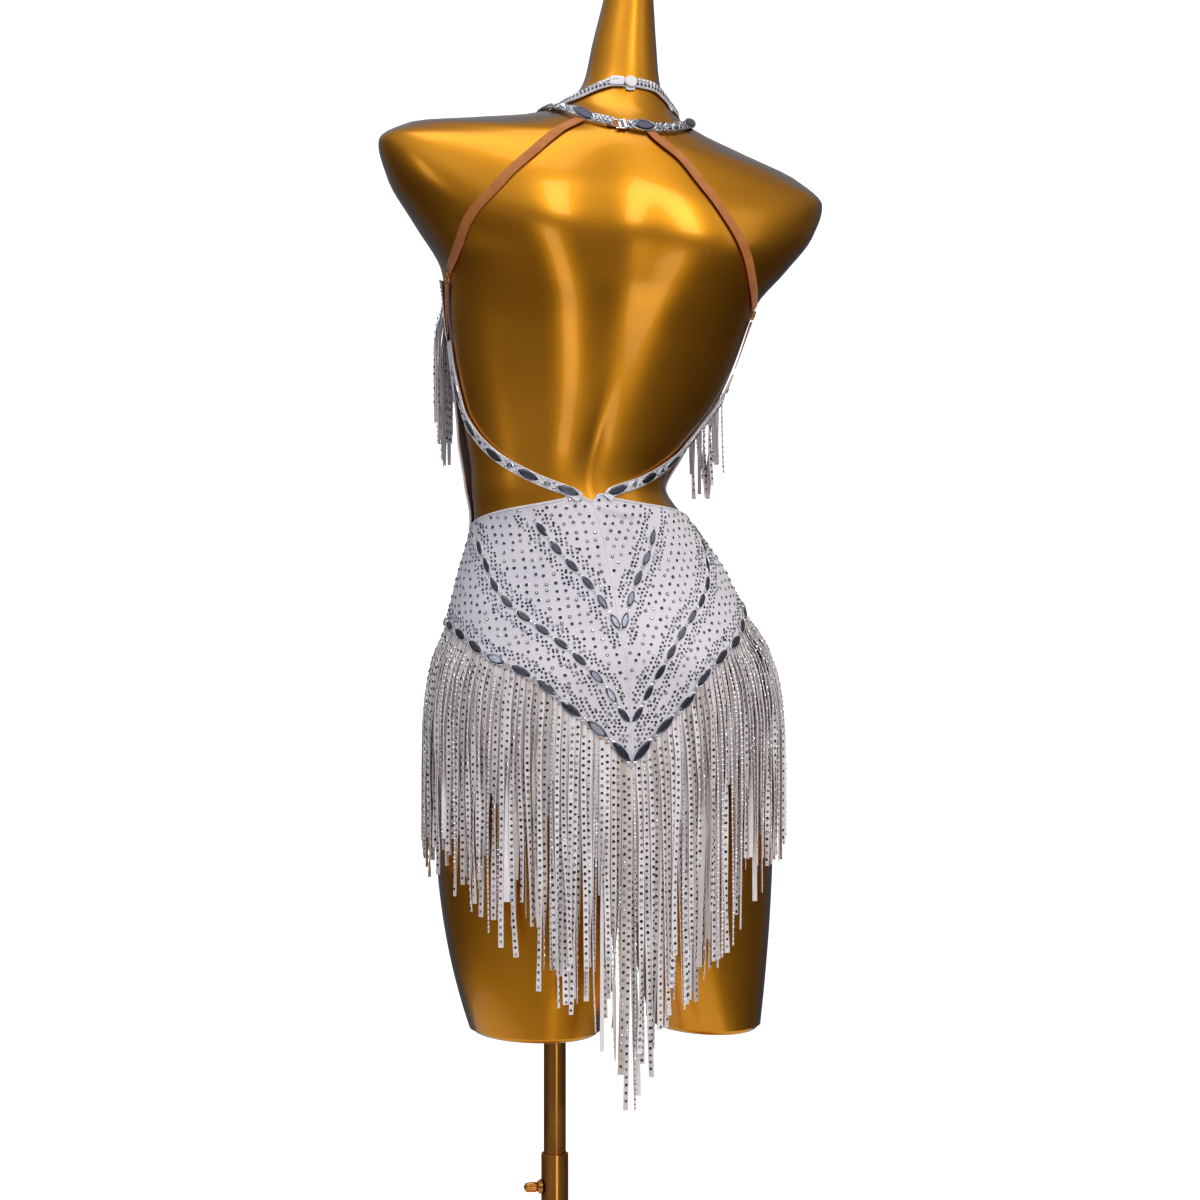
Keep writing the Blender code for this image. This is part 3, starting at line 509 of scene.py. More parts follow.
def join_rings(work, loops, capped=False):
    """Quads between neighbouring closed loops of vertices, and a cap at both ends when asked."""
    count = len(loops[0])
    for lower, upper in zip(loops, loops[1:]):
        for i in range(count):
            j = (i + 1) % count
            work.faces.new((lower[i], lower[j], upper[j], upper[i]))
    if capped:
        work.faces.new(loops[0][::-1])
        work.faces.new(loops[-1])


def finished_mesh(name, work, sharp=35.0):
    """The mesh of a closed shape: faces outwards, smooth up to a sharp angle in degrees."""
    bmesh.ops.recalc_face_normals(work, faces=work.faces)
    mesh = bpy.data.meshes.new(name)
    work.to_mesh(mesh)
    work.free()
    mesh.shade_smooth()
    mesh.set_sharp_from_angle(angle=math.radians(sharp))
    return mesh


def lofted(name, loops):
    """A closed solid through equal loops of points, capped at both ends."""
    work = bmesh.new()
    join_rings(work, vert_loops(work, loops), True)
    return finished_mesh(name, work)


def circle(radius, height, count, ribs=0, depth=0.0):
    """A loop about the Z axis, ribbed when asked."""
    loop = []
    for k in range(count):
        turn = 2 * math.pi * k / count
        reach = radius - depth * (0.5 - 0.5 * math.cos(ribs * turn))
        loop.append(Vector((reach * math.cos(turn), reach * math.sin(turn), height)))
    return loop


def turned(name, profile, closed=False):
    """A turned piece from its profile, as (radius, height) from its top down."""
    if not closed:
        return lofted(name, [circle(max(r, 0.00005), h, TURN_STEPS) for r, h in profile])
    work = bmesh.new()
    loops = vert_loops(work, [circle(r, h, TURN_STEPS) for r, h in profile])
    join_rings(work, loops + loops[:1])
    return finished_mesh(name, work)


def axes_matrix(x_axis, y_axis, z_axis, place):
    """A placing matrix from three directions and an origin."""
    return Matrix(
        (
            (x_axis.x, y_axis.x, z_axis.x, place.x),
            (x_axis.y, y_axis.y, z_axis.y, place.y),
            (x_axis.z, y_axis.z, z_axis.z, place.z),
            (0, 0, 0, 1),
        )
    )


def body_matrix(level, degrees, gap, roll=0.0):
    """Where a piece made about its own Z axis lies on the body."""
    normal = body_normal(level, degrees)
    flat = Vector((0, 0, 1)).cross(normal).normalized()
    frame_here = axes_matrix(flat, normal.cross(flat), normal, on_body(level, degrees, gap))
    return frame_here @ Matrix.Rotation(math.radians(roll), 4, "Z")


def add_node(tree, kind, feeds=None, **settings):
    """Add a node, set it up and feed its inputs with values or other nodes' outputs."""
    made = tree.nodes.new(kind)
    for key, value in settings.items():
        setattr(made, key, value)
    for key, value in (feeds or {}).items():
        socket = made.inputs[key]
        if isinstance(value, bpy.types.NodeSocket):
            tree.links.new(value, socket)
        else:
            socket.default_value = value
    return made


def new_tree(name, inputs):
    """An empty Geometry Nodes tree with named inputs."""
    tree = bpy.data.node_groups.new(name, "GeometryNodeTree")
    tree.interface.new_socket("Geometry", in_out="INPUT", socket_type="NodeSocketGeometry")
    for label, kind in inputs:
        tree.interface.new_socket(label, in_out="INPUT", socket_type="NodeSocket" + kind)
    tree.interface.new_socket("Geometry", in_out="OUTPUT", socket_type="NodeSocketGeometry")
    return tree, tree.nodes.new("NodeGroupInput"), tree.nodes.new("NodeGroupOutput")


def named(tree, label, kind="FLOAT_VECTOR"):
    """The value of a mesh's own attribute."""
    return add_node(
        tree, "GeometryNodeInputNamedAttribute", {"Name": label}, data_type=kind
    ).outputs["Attribute"]


def grow(piece, tree, **settings):
    """Run a tree on a piece, and keep the result as its plain mesh."""
    modifier = piece.modifiers.new(tree.name, "NODES")
    modifier.node_group = tree
    for item in tree.interface.items_tree:
        if item.in_out == "INPUT" and item.name in settings:
            modifier[item.identifier] = settings[item.name]
    bpy.context.view_layer.update()
    graph = bpy.context.evaluated_depsgraph_get()
    mesh = bpy.data.meshes.new_from_object(
        piece.evaluated_get(graph), preserve_all_data_layers=True, depsgraph=graph
    )
    piece.modifiers.clear()
    piece.data = mesh
    mesh.name = piece.name
    return piece


def stone_tree():
    """Sets a stone on each point, turned by its out and along directions."""
    tree, source, end = new_tree(
        "set stones",
        [("Stone", "Object"), ("Facets", "Material"), ("Rim", "Material"), ("Seed", "Int")],
    )
    stone = add_node(
        tree, "GeometryNodeObjectInfo", {"Object": source.outputs["Stone"], "As Instance": True}
    )
    turn = add_node(
        tree, "FunctionNodeAxesToRotation",
        {"Primary Axis": named(tree, "out"), "Secondary Axis": named(tree, "along")},
        primary_axis="Z", secondary_axis="X",
    )
    placed = add_node(
        tree, "GeometryNodeInstanceOnPoints",
        {
            "Points": source.outputs["Geometry"], "Instance": stone.outputs["Geometry"],
            "Rotation": turn.outputs["Rotation"], "Scale": named(tree, "size"),
        },
    )
    # A random draw per stone, kept as shade: it sets each stone's tone and whether its flat top
    # gets the painted highlight.
    chance = add_node(
        tree, "FunctionNodeRandomValue", {"Seed": source.outputs["Seed"]}, data_type="FLOAT"
    )
    kept = add_node(
        tree, "GeometryNodeStoreNamedAttribute",
        {"Geometry": placed.outputs["Instances"], "Name": "shade", "Value": chance.outputs[1]},
        data_type="FLOAT", domain="INSTANCE",
    )
    solid = add_node(tree, "GeometryNodeRealizeInstances", {"Geometry": kept.outputs["Geometry"]})
    facets = add_node(
        tree, "GeometryNodeSetMaterial",
        {"Geometry": solid.outputs["Geometry"], "Material": source.outputs["Facets"]},
    )
    rims = add_node(
        tree, "GeometryNodeSetMaterial",
        {
            "Geometry": facets.outputs["Geometry"], "Selection": named(tree, "rim", "BOOLEAN"),
            "Material": source.outputs["Rim"],
        },
    )
    tree.links.new(rims.outputs["Geometry"], end.inputs["Geometry"])
    return tree


def band_tree():
    """Sweeps a flat or a round section along paths, with its face to their out direction."""
    tree, source, end = new_tree(
        "flat band",
        [("Wall", "Float"), ("Rounding", "Float"), ("Round", "Bool"), ("Finish", "Material")],
    )
    path = add_node(tree, "GeometryNodeMeshToCurve", {"Mesh": source.outputs["Geometry"]})
    length = add_node(tree, "GeometryNodeSplineParameter")
    marked = add_node(
        tree, "GeometryNodeStoreNamedAttribute",
        {"Geometry": path.outputs["Curve"], "Name": "run", "Value": length.outputs["Length"]},
        data_type="FLOAT", domain="POINT",
    )
    faced = add_node(
        tree, "GeometryNodeSetCurveNormal",
        {"Curve": marked.outputs["Geometry"], "Normal": named(tree, "out")}, mode="FREE",
    )
    flat = add_node(
        tree, "GeometryNodeCurvePrimitiveQuadrilateral",
        {"Width": source.outputs["Wall"], "Height": 1.0},
    )
    eased = add_node(
        tree, "GeometryNodeFilletCurve",
        {
            "Curve": flat.outputs["Curve"], "Radius": source.outputs["Rounding"],
            "Limit Radius": True, "Count": 2,
        },
        mode="POLY",
    )
    tube = add_node(
        tree, "GeometryNodeCurvePrimitiveCircle", {"Radius": 0.5, "Resolution": 8}
    )
    section = add_node(
        tree, "GeometryNodeSwitch",
        {
            "Switch": source.outputs["Round"], "False": eased.outputs["Curve"],
            "True": tube.outputs["Curve"],
        },
        input_type="GEOMETRY",
    )
    share = add_node(tree, "GeometryNodeSplineParameter")
    across = add_node(
        tree, "GeometryNodeStoreNamedAttribute",
        {"Geometry": section.outputs["Output"], "Name": "across", "Value": share.outputs["Factor"]},
        data_type="FLOAT", domain="POINT",
    )
    swept = add_node(
        tree, "GeometryNodeCurveToMesh",
        {
            "Curve": faced.outputs["Curve"], "Profile Curve": across.outputs["Geometry"],
            "Scale": named(tree, "width", "FLOAT"), "Fill Caps": True,
        },
    )
    whole = add_node(tree, "GeometryNodeRealizeInstances", {"Geometry": swept.outputs["Mesh"]})
    done = add_node(
        tree, "GeometryNodeSetMaterial",
        {"Geometry": whole.outputs["Geometry"], "Material": source.outputs["Finish"]},
    )
    tree.links.new(done.outputs["Geometry"], end.inputs["Geometry"])
    return tree


# ======== finishes ========
def new_finish(name, colour, roughness, metallic=0.0, **sockets):
    """A Principled finish; its uniform values sit on the shader's own sockets."""
    material = bpy.data.materials.new(name)
    material.use_nodes = True
    tree = material.node_tree
    shader = tree.nodes["Principled BSDF"]
    shader.inputs["Base Color"].default_value = (*colour, 1.0)
    shader.inputs["Roughness"].default_value = roughness
    shader.inputs["Metallic"].default_value = metallic
    for label, value in sockets.items():
        shader.inputs[label.replace("_", " ")].default_value = value
    material.diffuse_color = (*colour, 1.0)
    return material, tree, shader


def noise(tree, scale, detail=2.0, vector=None):
    """Noise over the piece's own space."""
    feeds = {"Scale": scale, "Detail": detail}
    if vector is None:
        vector = add_node(tree, "ShaderNodeTexCoord").outputs["Object"]
    feeds["Vector"] = vector
    return add_node(tree, "ShaderNodeTexNoise", feeds).outputs["Fac"]


def ramp(tree, value, stops):
    """A colour ramp through (place, colour) stops."""
    made = add_node(tree, "ShaderNodeValToRGB", {"Fac": value})
    elements = made.color_ramp.elements
    while len(elements) < len(stops):
        elements.new(0.5)
    for element, (place, colour) in zip(elements, stops):
        element.position = place
        element.color = (*colour, 1.0)
    return made.outputs["Color"]


def tint(tree, shader, value, stops, socket="Base Color"):
    """Feed a shader's socket from a ramp."""
    tree.links.new(ramp(tree, value, stops), shader.inputs[socket])


def attribute(tree, label):
    """A mesh's own attribute, as a finish reads it."""
    return add_node(tree, "ShaderNodeAttribute", attribute_name=label).outputs["Fac"]


def maths(tree, operation, *values):
    """The result of a sum on values or other nodes' outputs."""
    feeds = dict(enumerate(values))
    return add_node(tree, "ShaderNodeMath", feeds, operation=operation).outputs["Value"]


def waves(tree, value, rate):
    """Even ridges along a value."""
    return maths(tree, "SINE", maths(tree, "MULTIPLY", value, rate))


def mix_colours(tree, share, first, second, blend="MIX"):
    """Two colours, mixed by a share."""
    feeds = {0: share, 6: first, 7: second}
    return add_node(
        tree, "ShaderNodeMix", feeds, data_type="RGBA", blend_type=blend
    ).outputs[2]


def grey(value):
    """An even grey for a ramp."""
    return (value, value, value)


def add_bump(tree, shader, height, depth, strength=1.0, under=None):
    """Raise the surface by a pattern; under is a bump that it is laid over."""
    feeds = {"Height": height, "Distance": depth, "Strength": strength}
    if under is not None:
        feeds["Normal"] = under
    made = add_node(tree, "ShaderNodeBump", feeds).outputs["Normal"]
    tree.links.new(made, shader.inputs["Normal"])
    return made


def gold_lacquer():
    """Gold metal lacquer: fine orange peel, soft cloudy gloss, a few pits, and a painted grey
    reflection band at the silhouette.
    """
    material, tree, shader = new_finish(
        "gold lacquer", (0.75, 0.33, 0.022), 0.27, 1.0,
        Coat_Weight=0.45, Coat_Roughness=0.06, Coat_IOR=1.5,
    )
    tone = ramp(tree, noise(tree, 6.0, 3.0), [
        (0.30, (0.72, 0.32, 0.018)), (0.70, (0.80, 0.36, 0.026)),
    ])
    # Painted reflection: the base colour turns grey-mauve where the surface faces away, standing in
    # for the pale surround reflected at grazing angles.
    rim = add_node(tree, "ShaderNodeLayerWeight", {"Blend": 0.5}).outputs["Facing"]
    edge = ramp(tree, rim, [(0.60, grey(0.0)), (0.74, grey(1.0))])
    gold_with_painted_rim = mix_colours(tree, edge, tone, (0.30, 0.235, 0.215, 1.0))
    tree.links.new(gold_with_painted_rim, shader.inputs["Base Color"])
    cloud = [(0.25, grey(0.29)), (0.80, grey(0.35))]
    tint(tree, shader, noise(tree, 14.0, 4.0), cloud, "Roughness")
    peel = add_bump(tree, shader, noise(tree, 520.0, 2.0), 0.00003, 0.35)
    place = add_node(tree, "ShaderNodeTexCoord").outputs["Object"]
    pits = add_node(tree, "ShaderNodeTexVoronoi", {"Vector": place, "Scale": 55.0})
    rare = ramp(tree, noise(tree, 9.0, 0.0), [(0.66, grey(0.0)), (0.70, grey(1.0))])
    dots = ramp(tree, pits.outputs["Distance"], [(0.035, grey(1.0)), (0.075, grey(0.0))])
    sunk = maths(tree, "MULTIPLY", maths(tree, "MULTIPLY", rare, dots), -1.0)
    add_bump(tree, shader, sunk, 0.0003, 0.8, peel)
    return material


def bronze_tube():
    """Lacquered brass tube, drawn lengthwise."""
    material, tree, shader = new_finish(
        "bronze tube", (0.55, 0.26, 0.06), 0.20, 1.0, Coat_Weight=0.15, Coat_Roughness=0.08
    )
    place = add_node(tree, "ShaderNodeTexCoord").outputs["Object"]
    drawn = add_node(tree, "ShaderNodeMapping", {"Vector": place, "Scale": (1.0, 1.0, 0.02)})
    lines = noise(tree, 900.0, 2.0, drawn.outputs["Vector"])
    tint(tree, shader, lines, [(0.3, (0.50, 0.23, 0.05)), (0.7, (0.60, 0.29, 0.07))])
    tint(tree, shader, noise(tree, 30.0, 3.0), [(0.3, grey(0.17)), (0.8, grey(0.30))], "Roughness")
    add_bump(tree, shader, lines, 0.000006, 0.3)
    return material


def white_stretch():
    """White stretch knit with a faint lavender cast: fine ribs, cross loops and a soft sheen."""
    material, tree, shader = new_finish(
        "white stretch knit", (0.86, 0.83, 0.88), 0.62, Sheen_Weight=0.25, Sheen_Roughness=0.4
    )
    chart = add_node(tree, "ShaderNodeUVMap", uv_map="cut").outputs["UV"]
    tint(tree, shader, noise(tree, 18.0, 3.0), [
        (0.30, (0.74, 0.715, 0.77)), (0.70, (0.83, 0.80, 0.84)),
    ])
    ribs, loops = (
        add_node(
            tree, "ShaderNodeTexWave", {"Vector": chart, "Scale": scale, "Distortion": bend},
            wave_type="BANDS", bands_direction=way,
        ).outputs["Fac"]
        for scale, bend, way in ((360.0, 0.6, "X"), (260.0, 0.8, "Y"))
    )
    weave = add_bump(tree, shader, maths(tree, "ADD", ribs, loops), 0.00006, 0.5)
    add_bump(tree, shader, noise(tree, 60.0, 2.0), 0.0006, 0.25, weave)
    return material


def edge_binding():
    """The same white knit, folded over an edge and stitched."""
    material, tree, shader = new_finish(
        "white edge binding", (0.80, 0.79, 0.84), 0.55, Sheen_Weight=0.2
    )
    add_bump(tree, shader, waves(tree, attribute(tree, "run"), 2600.0), 0.00012, 0.5)
    tint(tree, shader, noise(tree, 120.0, 2.0), [
        (0.3, (0.72, 0.71, 0.77)), (0.7, (0.86, 0.85, 0.90)),
    ])
    return material


def fringe_tape():
    """Satin fringe tape: each strand has its own tone from white to beige, with fine lengthwise
    ribs; the beige is partly painted reflection of the gold and painted shade.
    """
    material, tree, shader = new_finish(
        "satin fringe tape", (0.86, 0.82, 0.85), 0.30,
        Sheen_Weight=0.10, Specular_IOR_Level=0.8, Coat_Weight=0.7, Coat_Roughness=0.08,
    )
    # The beige end of these tones is partly painted gold reflection and painted shade between the
    # strands.
    tint(tree, shader, attribute(tree, "shade"), [
        (0.00, (0.62, 0.54, 0.50)), (0.25, (0.82, 0.76, 0.74)), (0.60, (0.91, 0.87, 0.89)),
        (1.00, (0.97, 0.94, 0.95)),
    ])
    ribs = waves(tree, attribute(tree, "across"), 110.0)
    weave = add_bump(tree, shader, ribs, 0.00008, 0.4)
    add_bump(tree, shader, noise(tree, 260.0, 2.0), 0.0002, 0.35, weave)
    return material


def stone_facets(name, dark, mid, bright, roughness=0.10, lit=0.30, metallic=0.92):
    """Foiled stones with painted light: the sides are painted dark as shade, and lit is the random
    share whose flat tops are painted bright as a glint.
    """
    material, tree, shader = new_finish(
        name, mid, roughness, metallic, Coat_Weight=0.6, Coat_Roughness=0.03
    )
    shade = attribute(tree, "shade")
    # Painted highlight: the flat tops of a random share take the bright colour.
    tops = ramp(tree, shade, [
        (0.0, dark), (0.96 - lit, mid), (1.04 - lit, bright), (1.0, bright),
    ])
    # Painted shade: the sides only run from dark to mid.
    sides = ramp(tree, shade, [(0.0, dark), (1.0, mid)])
    faces = mix_colours(tree, attribute(tree, "table"), sides, tops)
    tree.links.new(faces, shader.inputs["Base Color"])
    haze = [(0.3, grey(roughness * 0.6)), (0.8, grey(roughness * 1.8))]
    tint(tree, shader, noise(tree, 400.0, 1.0), haze, "Roughness")
    return material


def silver_rim():
    """Bright silver settings round the stones."""
    material, tree, shader = new_finish("silver setting", (0.88, 0.88, 0.91), 0.22, 0.75)
    tint(tree, shader, noise(tree, 300.0, 2.0), [
        (0.3, (0.78, 0.78, 0.83)), (0.7, (0.95, 0.95, 0.97)),
    ])
    add_bump(tree, shader, noise(tree, 700.0, 2.0), 0.00006, 0.4)
    return material


def crystal_cluster():
    """Crushed crystal round the halter's stones: bright and dark grains."""
    material, tree, shader = new_finish("crystal cluster", (0.50, 0.50, 0.54), 0.25, 0.7)
    tint(tree, shader, noise(tree, 420.0, 2.0), [
        (0.36, (0.10, 0.10, 0.13)), (0.50, (0.42, 0.42, 0.47)), (0.62, (0.92, 0.92, 0.95)),
    ])
    add_bump(tree, shader, noise(tree, 420.0, 2.0), 0.0006, 0.9)
    return material


def tan_elastic():
    """Skin-tone elastic: lengthwise ribs and cross threads."""
    material, tree, shader = new_finish("tan elastic", (0.47, 0.18, 0.045), 0.6, Sheen_Weight=0.25)
    weft = waves(tree, attribute(tree, "run"), 5200.0)
    warp = waves(tree, attribute(tree, "across"), 130.0)
    tint(tree, shader, noise(tree, 90.0, 3.0), [
        (0.3, (0.46, 0.160, 0.030)), (0.7, (0.56, 0.215, 0.050)),
    ])
    add_bump(tree, shader, maths(tree, "ADD", weft, warp), 0.00006, 0.6)
    return material


def ring_brass():
    """Small brass-plated rings, lightly rubbed."""
    material, tree, shader = new_finish("ring brass", (0.72, 0.44, 0.13), 0.2, 1.0)
    tint(tree, shader, noise(tree, 500.0, 3.0), [(0.3, grey(0.13)), (0.7, grey(0.32))], "Roughness")
    return material


def clasp_plastic():
    """White moulded plastic, glossy, with a faint flow pattern."""
    material, tree, shader = new_finish(
        "white clasp plastic", (0.82, 0.81, 0.84), 0.22, Specular_IOR_Level=0.55
    )
    tint(tree, shader, noise(tree, 140.0, 2.0), [
        (0.3, (0.77, 0.76, 0.80)), (0.7, (0.86, 0.85, 0.88)),
    ])
    add_bump(tree, shader, noise(tree, 420.0, 2.0), 0.00008, 0.3)
    return material


def buckle_steel():
    """Polished steel wire, lightly scratched."""
    material, tree, shader = new_finish("buckle steel", (0.84, 0.84, 0.87), 0.16, 1.0)
    tint(tree, shader, noise(tree, 650.0, 3.0), [(0.3, grey(0.10)), (0.8, grey(0.28))], "Roughness")
    return material


def studio_floor():
    """Pale matt floor."""
    material, tree, shader = new_finish("studio floor", (0.86, 0.86, 0.86), 0.7)
    tint(tree, shader, noise(tree, 2.0, 3.0), [(0.3, grey(0.84)), (0.7, grey(0.88))])
    return material


# ======== stone shapes, one unit from the middle to the end or the edge ========
def outline_loop(points, scale, height):
    """An outline shrunk and raised."""
    return [Vector((x * scale, y * scale, height)) for x, y in points]


def stone_shape(name, outline, steps, rim_bands):
    """A faceted stone through (scale, height) steps; its lowest bands are the setting."""
    loops = [outline_loop(outline, scale, height) for scale, height in steps]
    count = len(outline)
    points = [point for loop in loops for point in loop]
    faces, rims = [tuple(range(count))[::-1]], [True]
    for band in range(len(loops) - 1):
        for i in range(count):
            j = (i + 1) % count
            low, high = band * count, (band + 1) * count
            faces.append((low + i, low + j, high + j, high + i))
            rims.append(band < rim_bands)
    faces.append(tuple(range((len(loops) - 1) * count, len(loops) * count)))
    rims.append(False)
    mesh = mesh_of(name, points, faces)
    marks = mesh.attributes.new("rim", "BOOLEAN", "FACE")
    marks.data.foreach_set("value", rims)
    # table marks the flat top, where the stone finishes paint their highlight.
    tops = mesh.attributes.new("table", "FLOAT", "FACE")
    tops.data.foreach_set("value", [0.0] * (len(faces) - 1) + [1.0])
    return new_piece(name, mesh)


def stone_shapes():
    """The few stones that everything is set with."""
    def ring(count):
        turns = [2 * math.pi * k / count for k in range(count)]
        return [(math.cos(turn), math.sin(turn)) for turn in turns]

    lens = [
        (x, NAVETTE_SLIM * math.copysign(abs(y) ** 1.25, y)) for x, y in ring(12)
    ]
    field = [(1.0, 0.0), (1.0, 0.22), (0.84, 0.30), (0.80, 0.26), (0.46, 0.62)]
    small = [(1.0, 0.0), (0.94, 0.34), (0.50, 0.68)]
    navette = [(1.0, 0.0), (1.0, 0.085), (0.92, 0.115), (0.86, 0.092), (0.60, 0.150)]
    return {
        "field": stone_shape("field stone", ring(8), field, 3),
        "small": stone_shape("small stone", ring(6), small, 1),
        "tape": stone_shape("tape stone", ring(5), [(1.0, 0.0), (0.88, 0.36), (0.52, 0.60)], 1),
        "bead": stone_shape("string bead", ring(4), [(0.55, -0.6), (1.0, 0.0), (0.55, 0.6)], 1),
        "navette": stone_shape("navette", lens, navette, 3),
        "oval": stone_shape(
            "oval stone", [(x, OVAL_SLIM * y) for x, y in ring(10)],
            [(1.0, 0.0), (1.0, 0.20), (0.86, 0.32), (0.80, 0.28), (0.45, 0.50)], 3,
        ),
    }


Spot = namedtuple("Spot", "point out along size")


def set_stones(name, spots, shape, facets, finishes, seed):
    """One piece of stones in silver settings, a stone for each spot."""
    mesh = mesh_of(name, [spot.point for spot in spots], [])
    for label, column in (("out", 1), ("along", 2), ("size", 3)):
        layer = mesh.attributes.new(label, "FLOAT_VECTOR", "POINT")
        layer.data.foreach_set("vector", [v for spot in spots for v in spot[column]])
    piece = grow(
        new_piece(name, mesh), TREES["stones"], Stone=SHAPES[shape], Facets=finishes[facets],
        Rim=finishes["silver"], Seed=seed,
    )
    return dress_piece(piece, "gem_trim")


def sweep_bands(name, paths, finish, wall, rounding=0.0, tube=False):
    """One piece of bands; a path is (points, outs, widths, shade)."""
    points, edges, outs, widths, shades = [], [], [], [], []
    for path_points, path_outs, path_widths, shade in paths:
        first = len(points)
        points += path_points
        outs += path_outs
        widths += path_widths
        shades += [shade] * len(path_points)
        edges += [(k, k + 1) for k in range(first, len(points) - 1)]
    mesh = mesh_of(name, points, [], edges)
    layer = mesh.attributes.new("out", "FLOAT_VECTOR", "POINT")
    layer.data.foreach_set("vector", [v for out in outs for v in out])
    for label, values in (("width", widths), ("shade", shades)):
        layer = mesh.attributes.new(label, "FLOAT", "POINT")
        layer.data.foreach_set("value", values)
    piece = new_piece(name, mesh)
    grow(
        piece, TREES["band"], Wall=wall, Rounding=rounding, Round=tube, Finish=finish
    )
    work = bmesh.new()
    work.from_mesh(piece.data)
    bmesh.ops.recalc_face_normals(work, faces=work.faces)
    work.to_mesh(piece.data)
    work.free()
    piece.data.shade_smooth()
    piece.data.set_sharp_from_angle(angle=math.radians(50))
    return piece


def even_path(points, outs, width, shade=0.5):
    """A band's path of one width."""
    return points, outs, [width] * len(points), shade


def piping(name, paths, finishes):
    """A round binding or seam ridge of the dress."""
    piece = sweep_bands(name, paths, finishes["binding"], 1.0, 0.0, True)
    return dress_piece(piece, "white_stretch")


# ======== stand ========
def finish_stand_piece(piece, body, node):
    """Tie a stand or form piece to its body and its CAD node."""
    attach(piece, body)
    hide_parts(node)


def build_stand(finish):
    """Base plate, hub, outer tube and inner pole, turned finely."""
    floor = BASE_RISE + SEAM_GAP
    bore = TUBE_RADIUS + SEAM_GAP
    rim = [
        (BASE_RADIUS - 0.003 + 0.003 * math.sin(a), 0.003 + 0.003 * math.cos(a))
        for a in (math.radians(15 * k) for k in range(7))
    ]
    plate = [
        (0, BASE_RISE), (0.030, BASE_RISE), (0.060, BASE_RISE - 0.0002),
        (0.090, BASE_RISE - 0.0012), (0.120, BASE_RISE - 0.003), (0.150, BASE_RISE - 0.0060),
        (BASE_RADIUS - 0.014, BASE_RISE - 0.0095), (BASE_RADIUS - 0.006, BASE_RISE - 0.0122),
        *rim, (BASE_RADIUS - 0.001, 0.0), (0, 0),
    ]
    hub = [
        (bore, HUB_TOP), (bore + 0.0045, HUB_TOP), (bore + 0.0058, HUB_TOP - 0.0008),
        (bore + 0.0068, HUB_TOP - 0.0025), (bore + 0.0075, 0.042), (bore + 0.0095, 0.031),
        (bore + 0.0130, 0.0255), (HUB_RADIUS - 0.003, 0.0228), (HUB_RADIUS - 0.0008, 0.0220),
        (HUB_RADIUS, 0.0212), (HUB_RADIUS, floor), (bore, floor),
    ]
    tube = [
        (TUBE_BORE + 0.0001, TUBE_TOP - 0.0002), (TUBE_BORE + 0.0003, TUBE_TOP),
        (TUBE_RADIUS - 0.0005, TUBE_TOP), (TUBE_RADIUS - 0.0001, TUBE_TOP - 0.0003),
        (TUBE_RADIUS, TUBE_TOP - 0.0008), (TUBE_RADIUS, floor), (TUBE_BORE, floor),
        (TUBE_BORE, TUBE_TOP - 0.0006),
    ]
    pole_top = FORM_FOOT + SOCKET_DEPTH - SEAM_GAP
    pole = [
        (0, pole_top), (POLE_RADIUS - 0.001, pole_top), (POLE_RADIUS, pole_top - 0.001),
        (POLE_RADIUS, POLE_FOOT + 0.001), (POLE_RADIUS - 0.001, POLE_FOOT), (0, POLE_FOOT),
    ]
    for name, profile, hollow, body, node in (
        ("stand plate", plate, False, "root", "base_plate"),
        ("stand hub", hub, True, "root", "base_hub"),
        ("stand sleeve", tube, True, "root", "outer_tube"),
        ("stand pole", pole, False, "post", "inner_pole"),
    ):
        piece = new_piece(name, turned(name, profile, hollow), finish)
        finish_stand_piece(piece, body, node)


def build_thumb_screw(finish):
    """The flared boss on the tube and the ribbed screw that clamps the pole."""
    up = Vector((0, 0, 1))
    facing = axes_matrix(up.cross(SCREW_SIDE), up, SCREW_SIDE, up * SCREW_LEVEL)
    bore = SHANK_RADIUS + SEAM_GAP
    boss = [
        (bore, BOSS_TOP), (bore + 0.0014, BOSS_TOP), (0.0050, BOSS_TOP - 0.0004),
        (0.0062, BOSS_FOOT + 0.0022), (0.0070, BOSS_FOOT + 0.0010),
        (BOSS_RADIUS, BOSS_FOOT + 0.0004), (BOSS_RADIUS, BOSS_FOOT), (bore, BOSS_FOOT),
    ]
    piece = new_piece("stand screw boss", turned("screw boss", boss, True), finish)
    piece.data.transform(facing)
    finish_stand_piece(piece, "root", "screw_boss")
    foot = BOSS_TOP + SEAM_GAP
    shank_end = POLE_RADIUS + SOCKET_CLEAR
    count = TURN_STEPS
    loops = [
        circle(0.00005, SCREW_REACH, count), circle(0.0021, SCREW_REACH, count),
        circle(0.0027, SCREW_REACH - 0.0004, count), circle(0.0035, SCREW_REACH - 0.0012, count),
    ]
    for share in spread(6):
        height = SCREW_REACH - 0.0020 - share * (SCREW_REACH - 0.0020 - foot - 0.0022)
        swell = KNOB_RADIUS + 0.0006 * share
        loops.append(circle(swell, height, count, KNOB_RIBS, 0.0005))
    loops += [circle(0.0050, foot + 0.0012, count), circle(0.0044, foot, count)]
    loops += [
        circle(SHANK_RADIUS, foot, count), circle(SHANK_RADIUS, shank_end, count),
        circle(0.00005, shank_end, count),
    ]
    screw = new_piece("stand thumb screw", lofted("thumb screw", loops), finish)
    screw.data.transform(facing)
    finish_stand_piece(screw, "clamp", "thumb_screw")


# ======== dress form ========
def ring_angles(level):
    """Angles that share out each quarter of a section's outline evenly."""
    angles = []
    for quarter in range(4):
        samples = [90.0 * (quarter + k / 30) for k in range(31)]
        angles += shared_out(level, samples, RING_POINTS // 4)[:-1]
    return angles


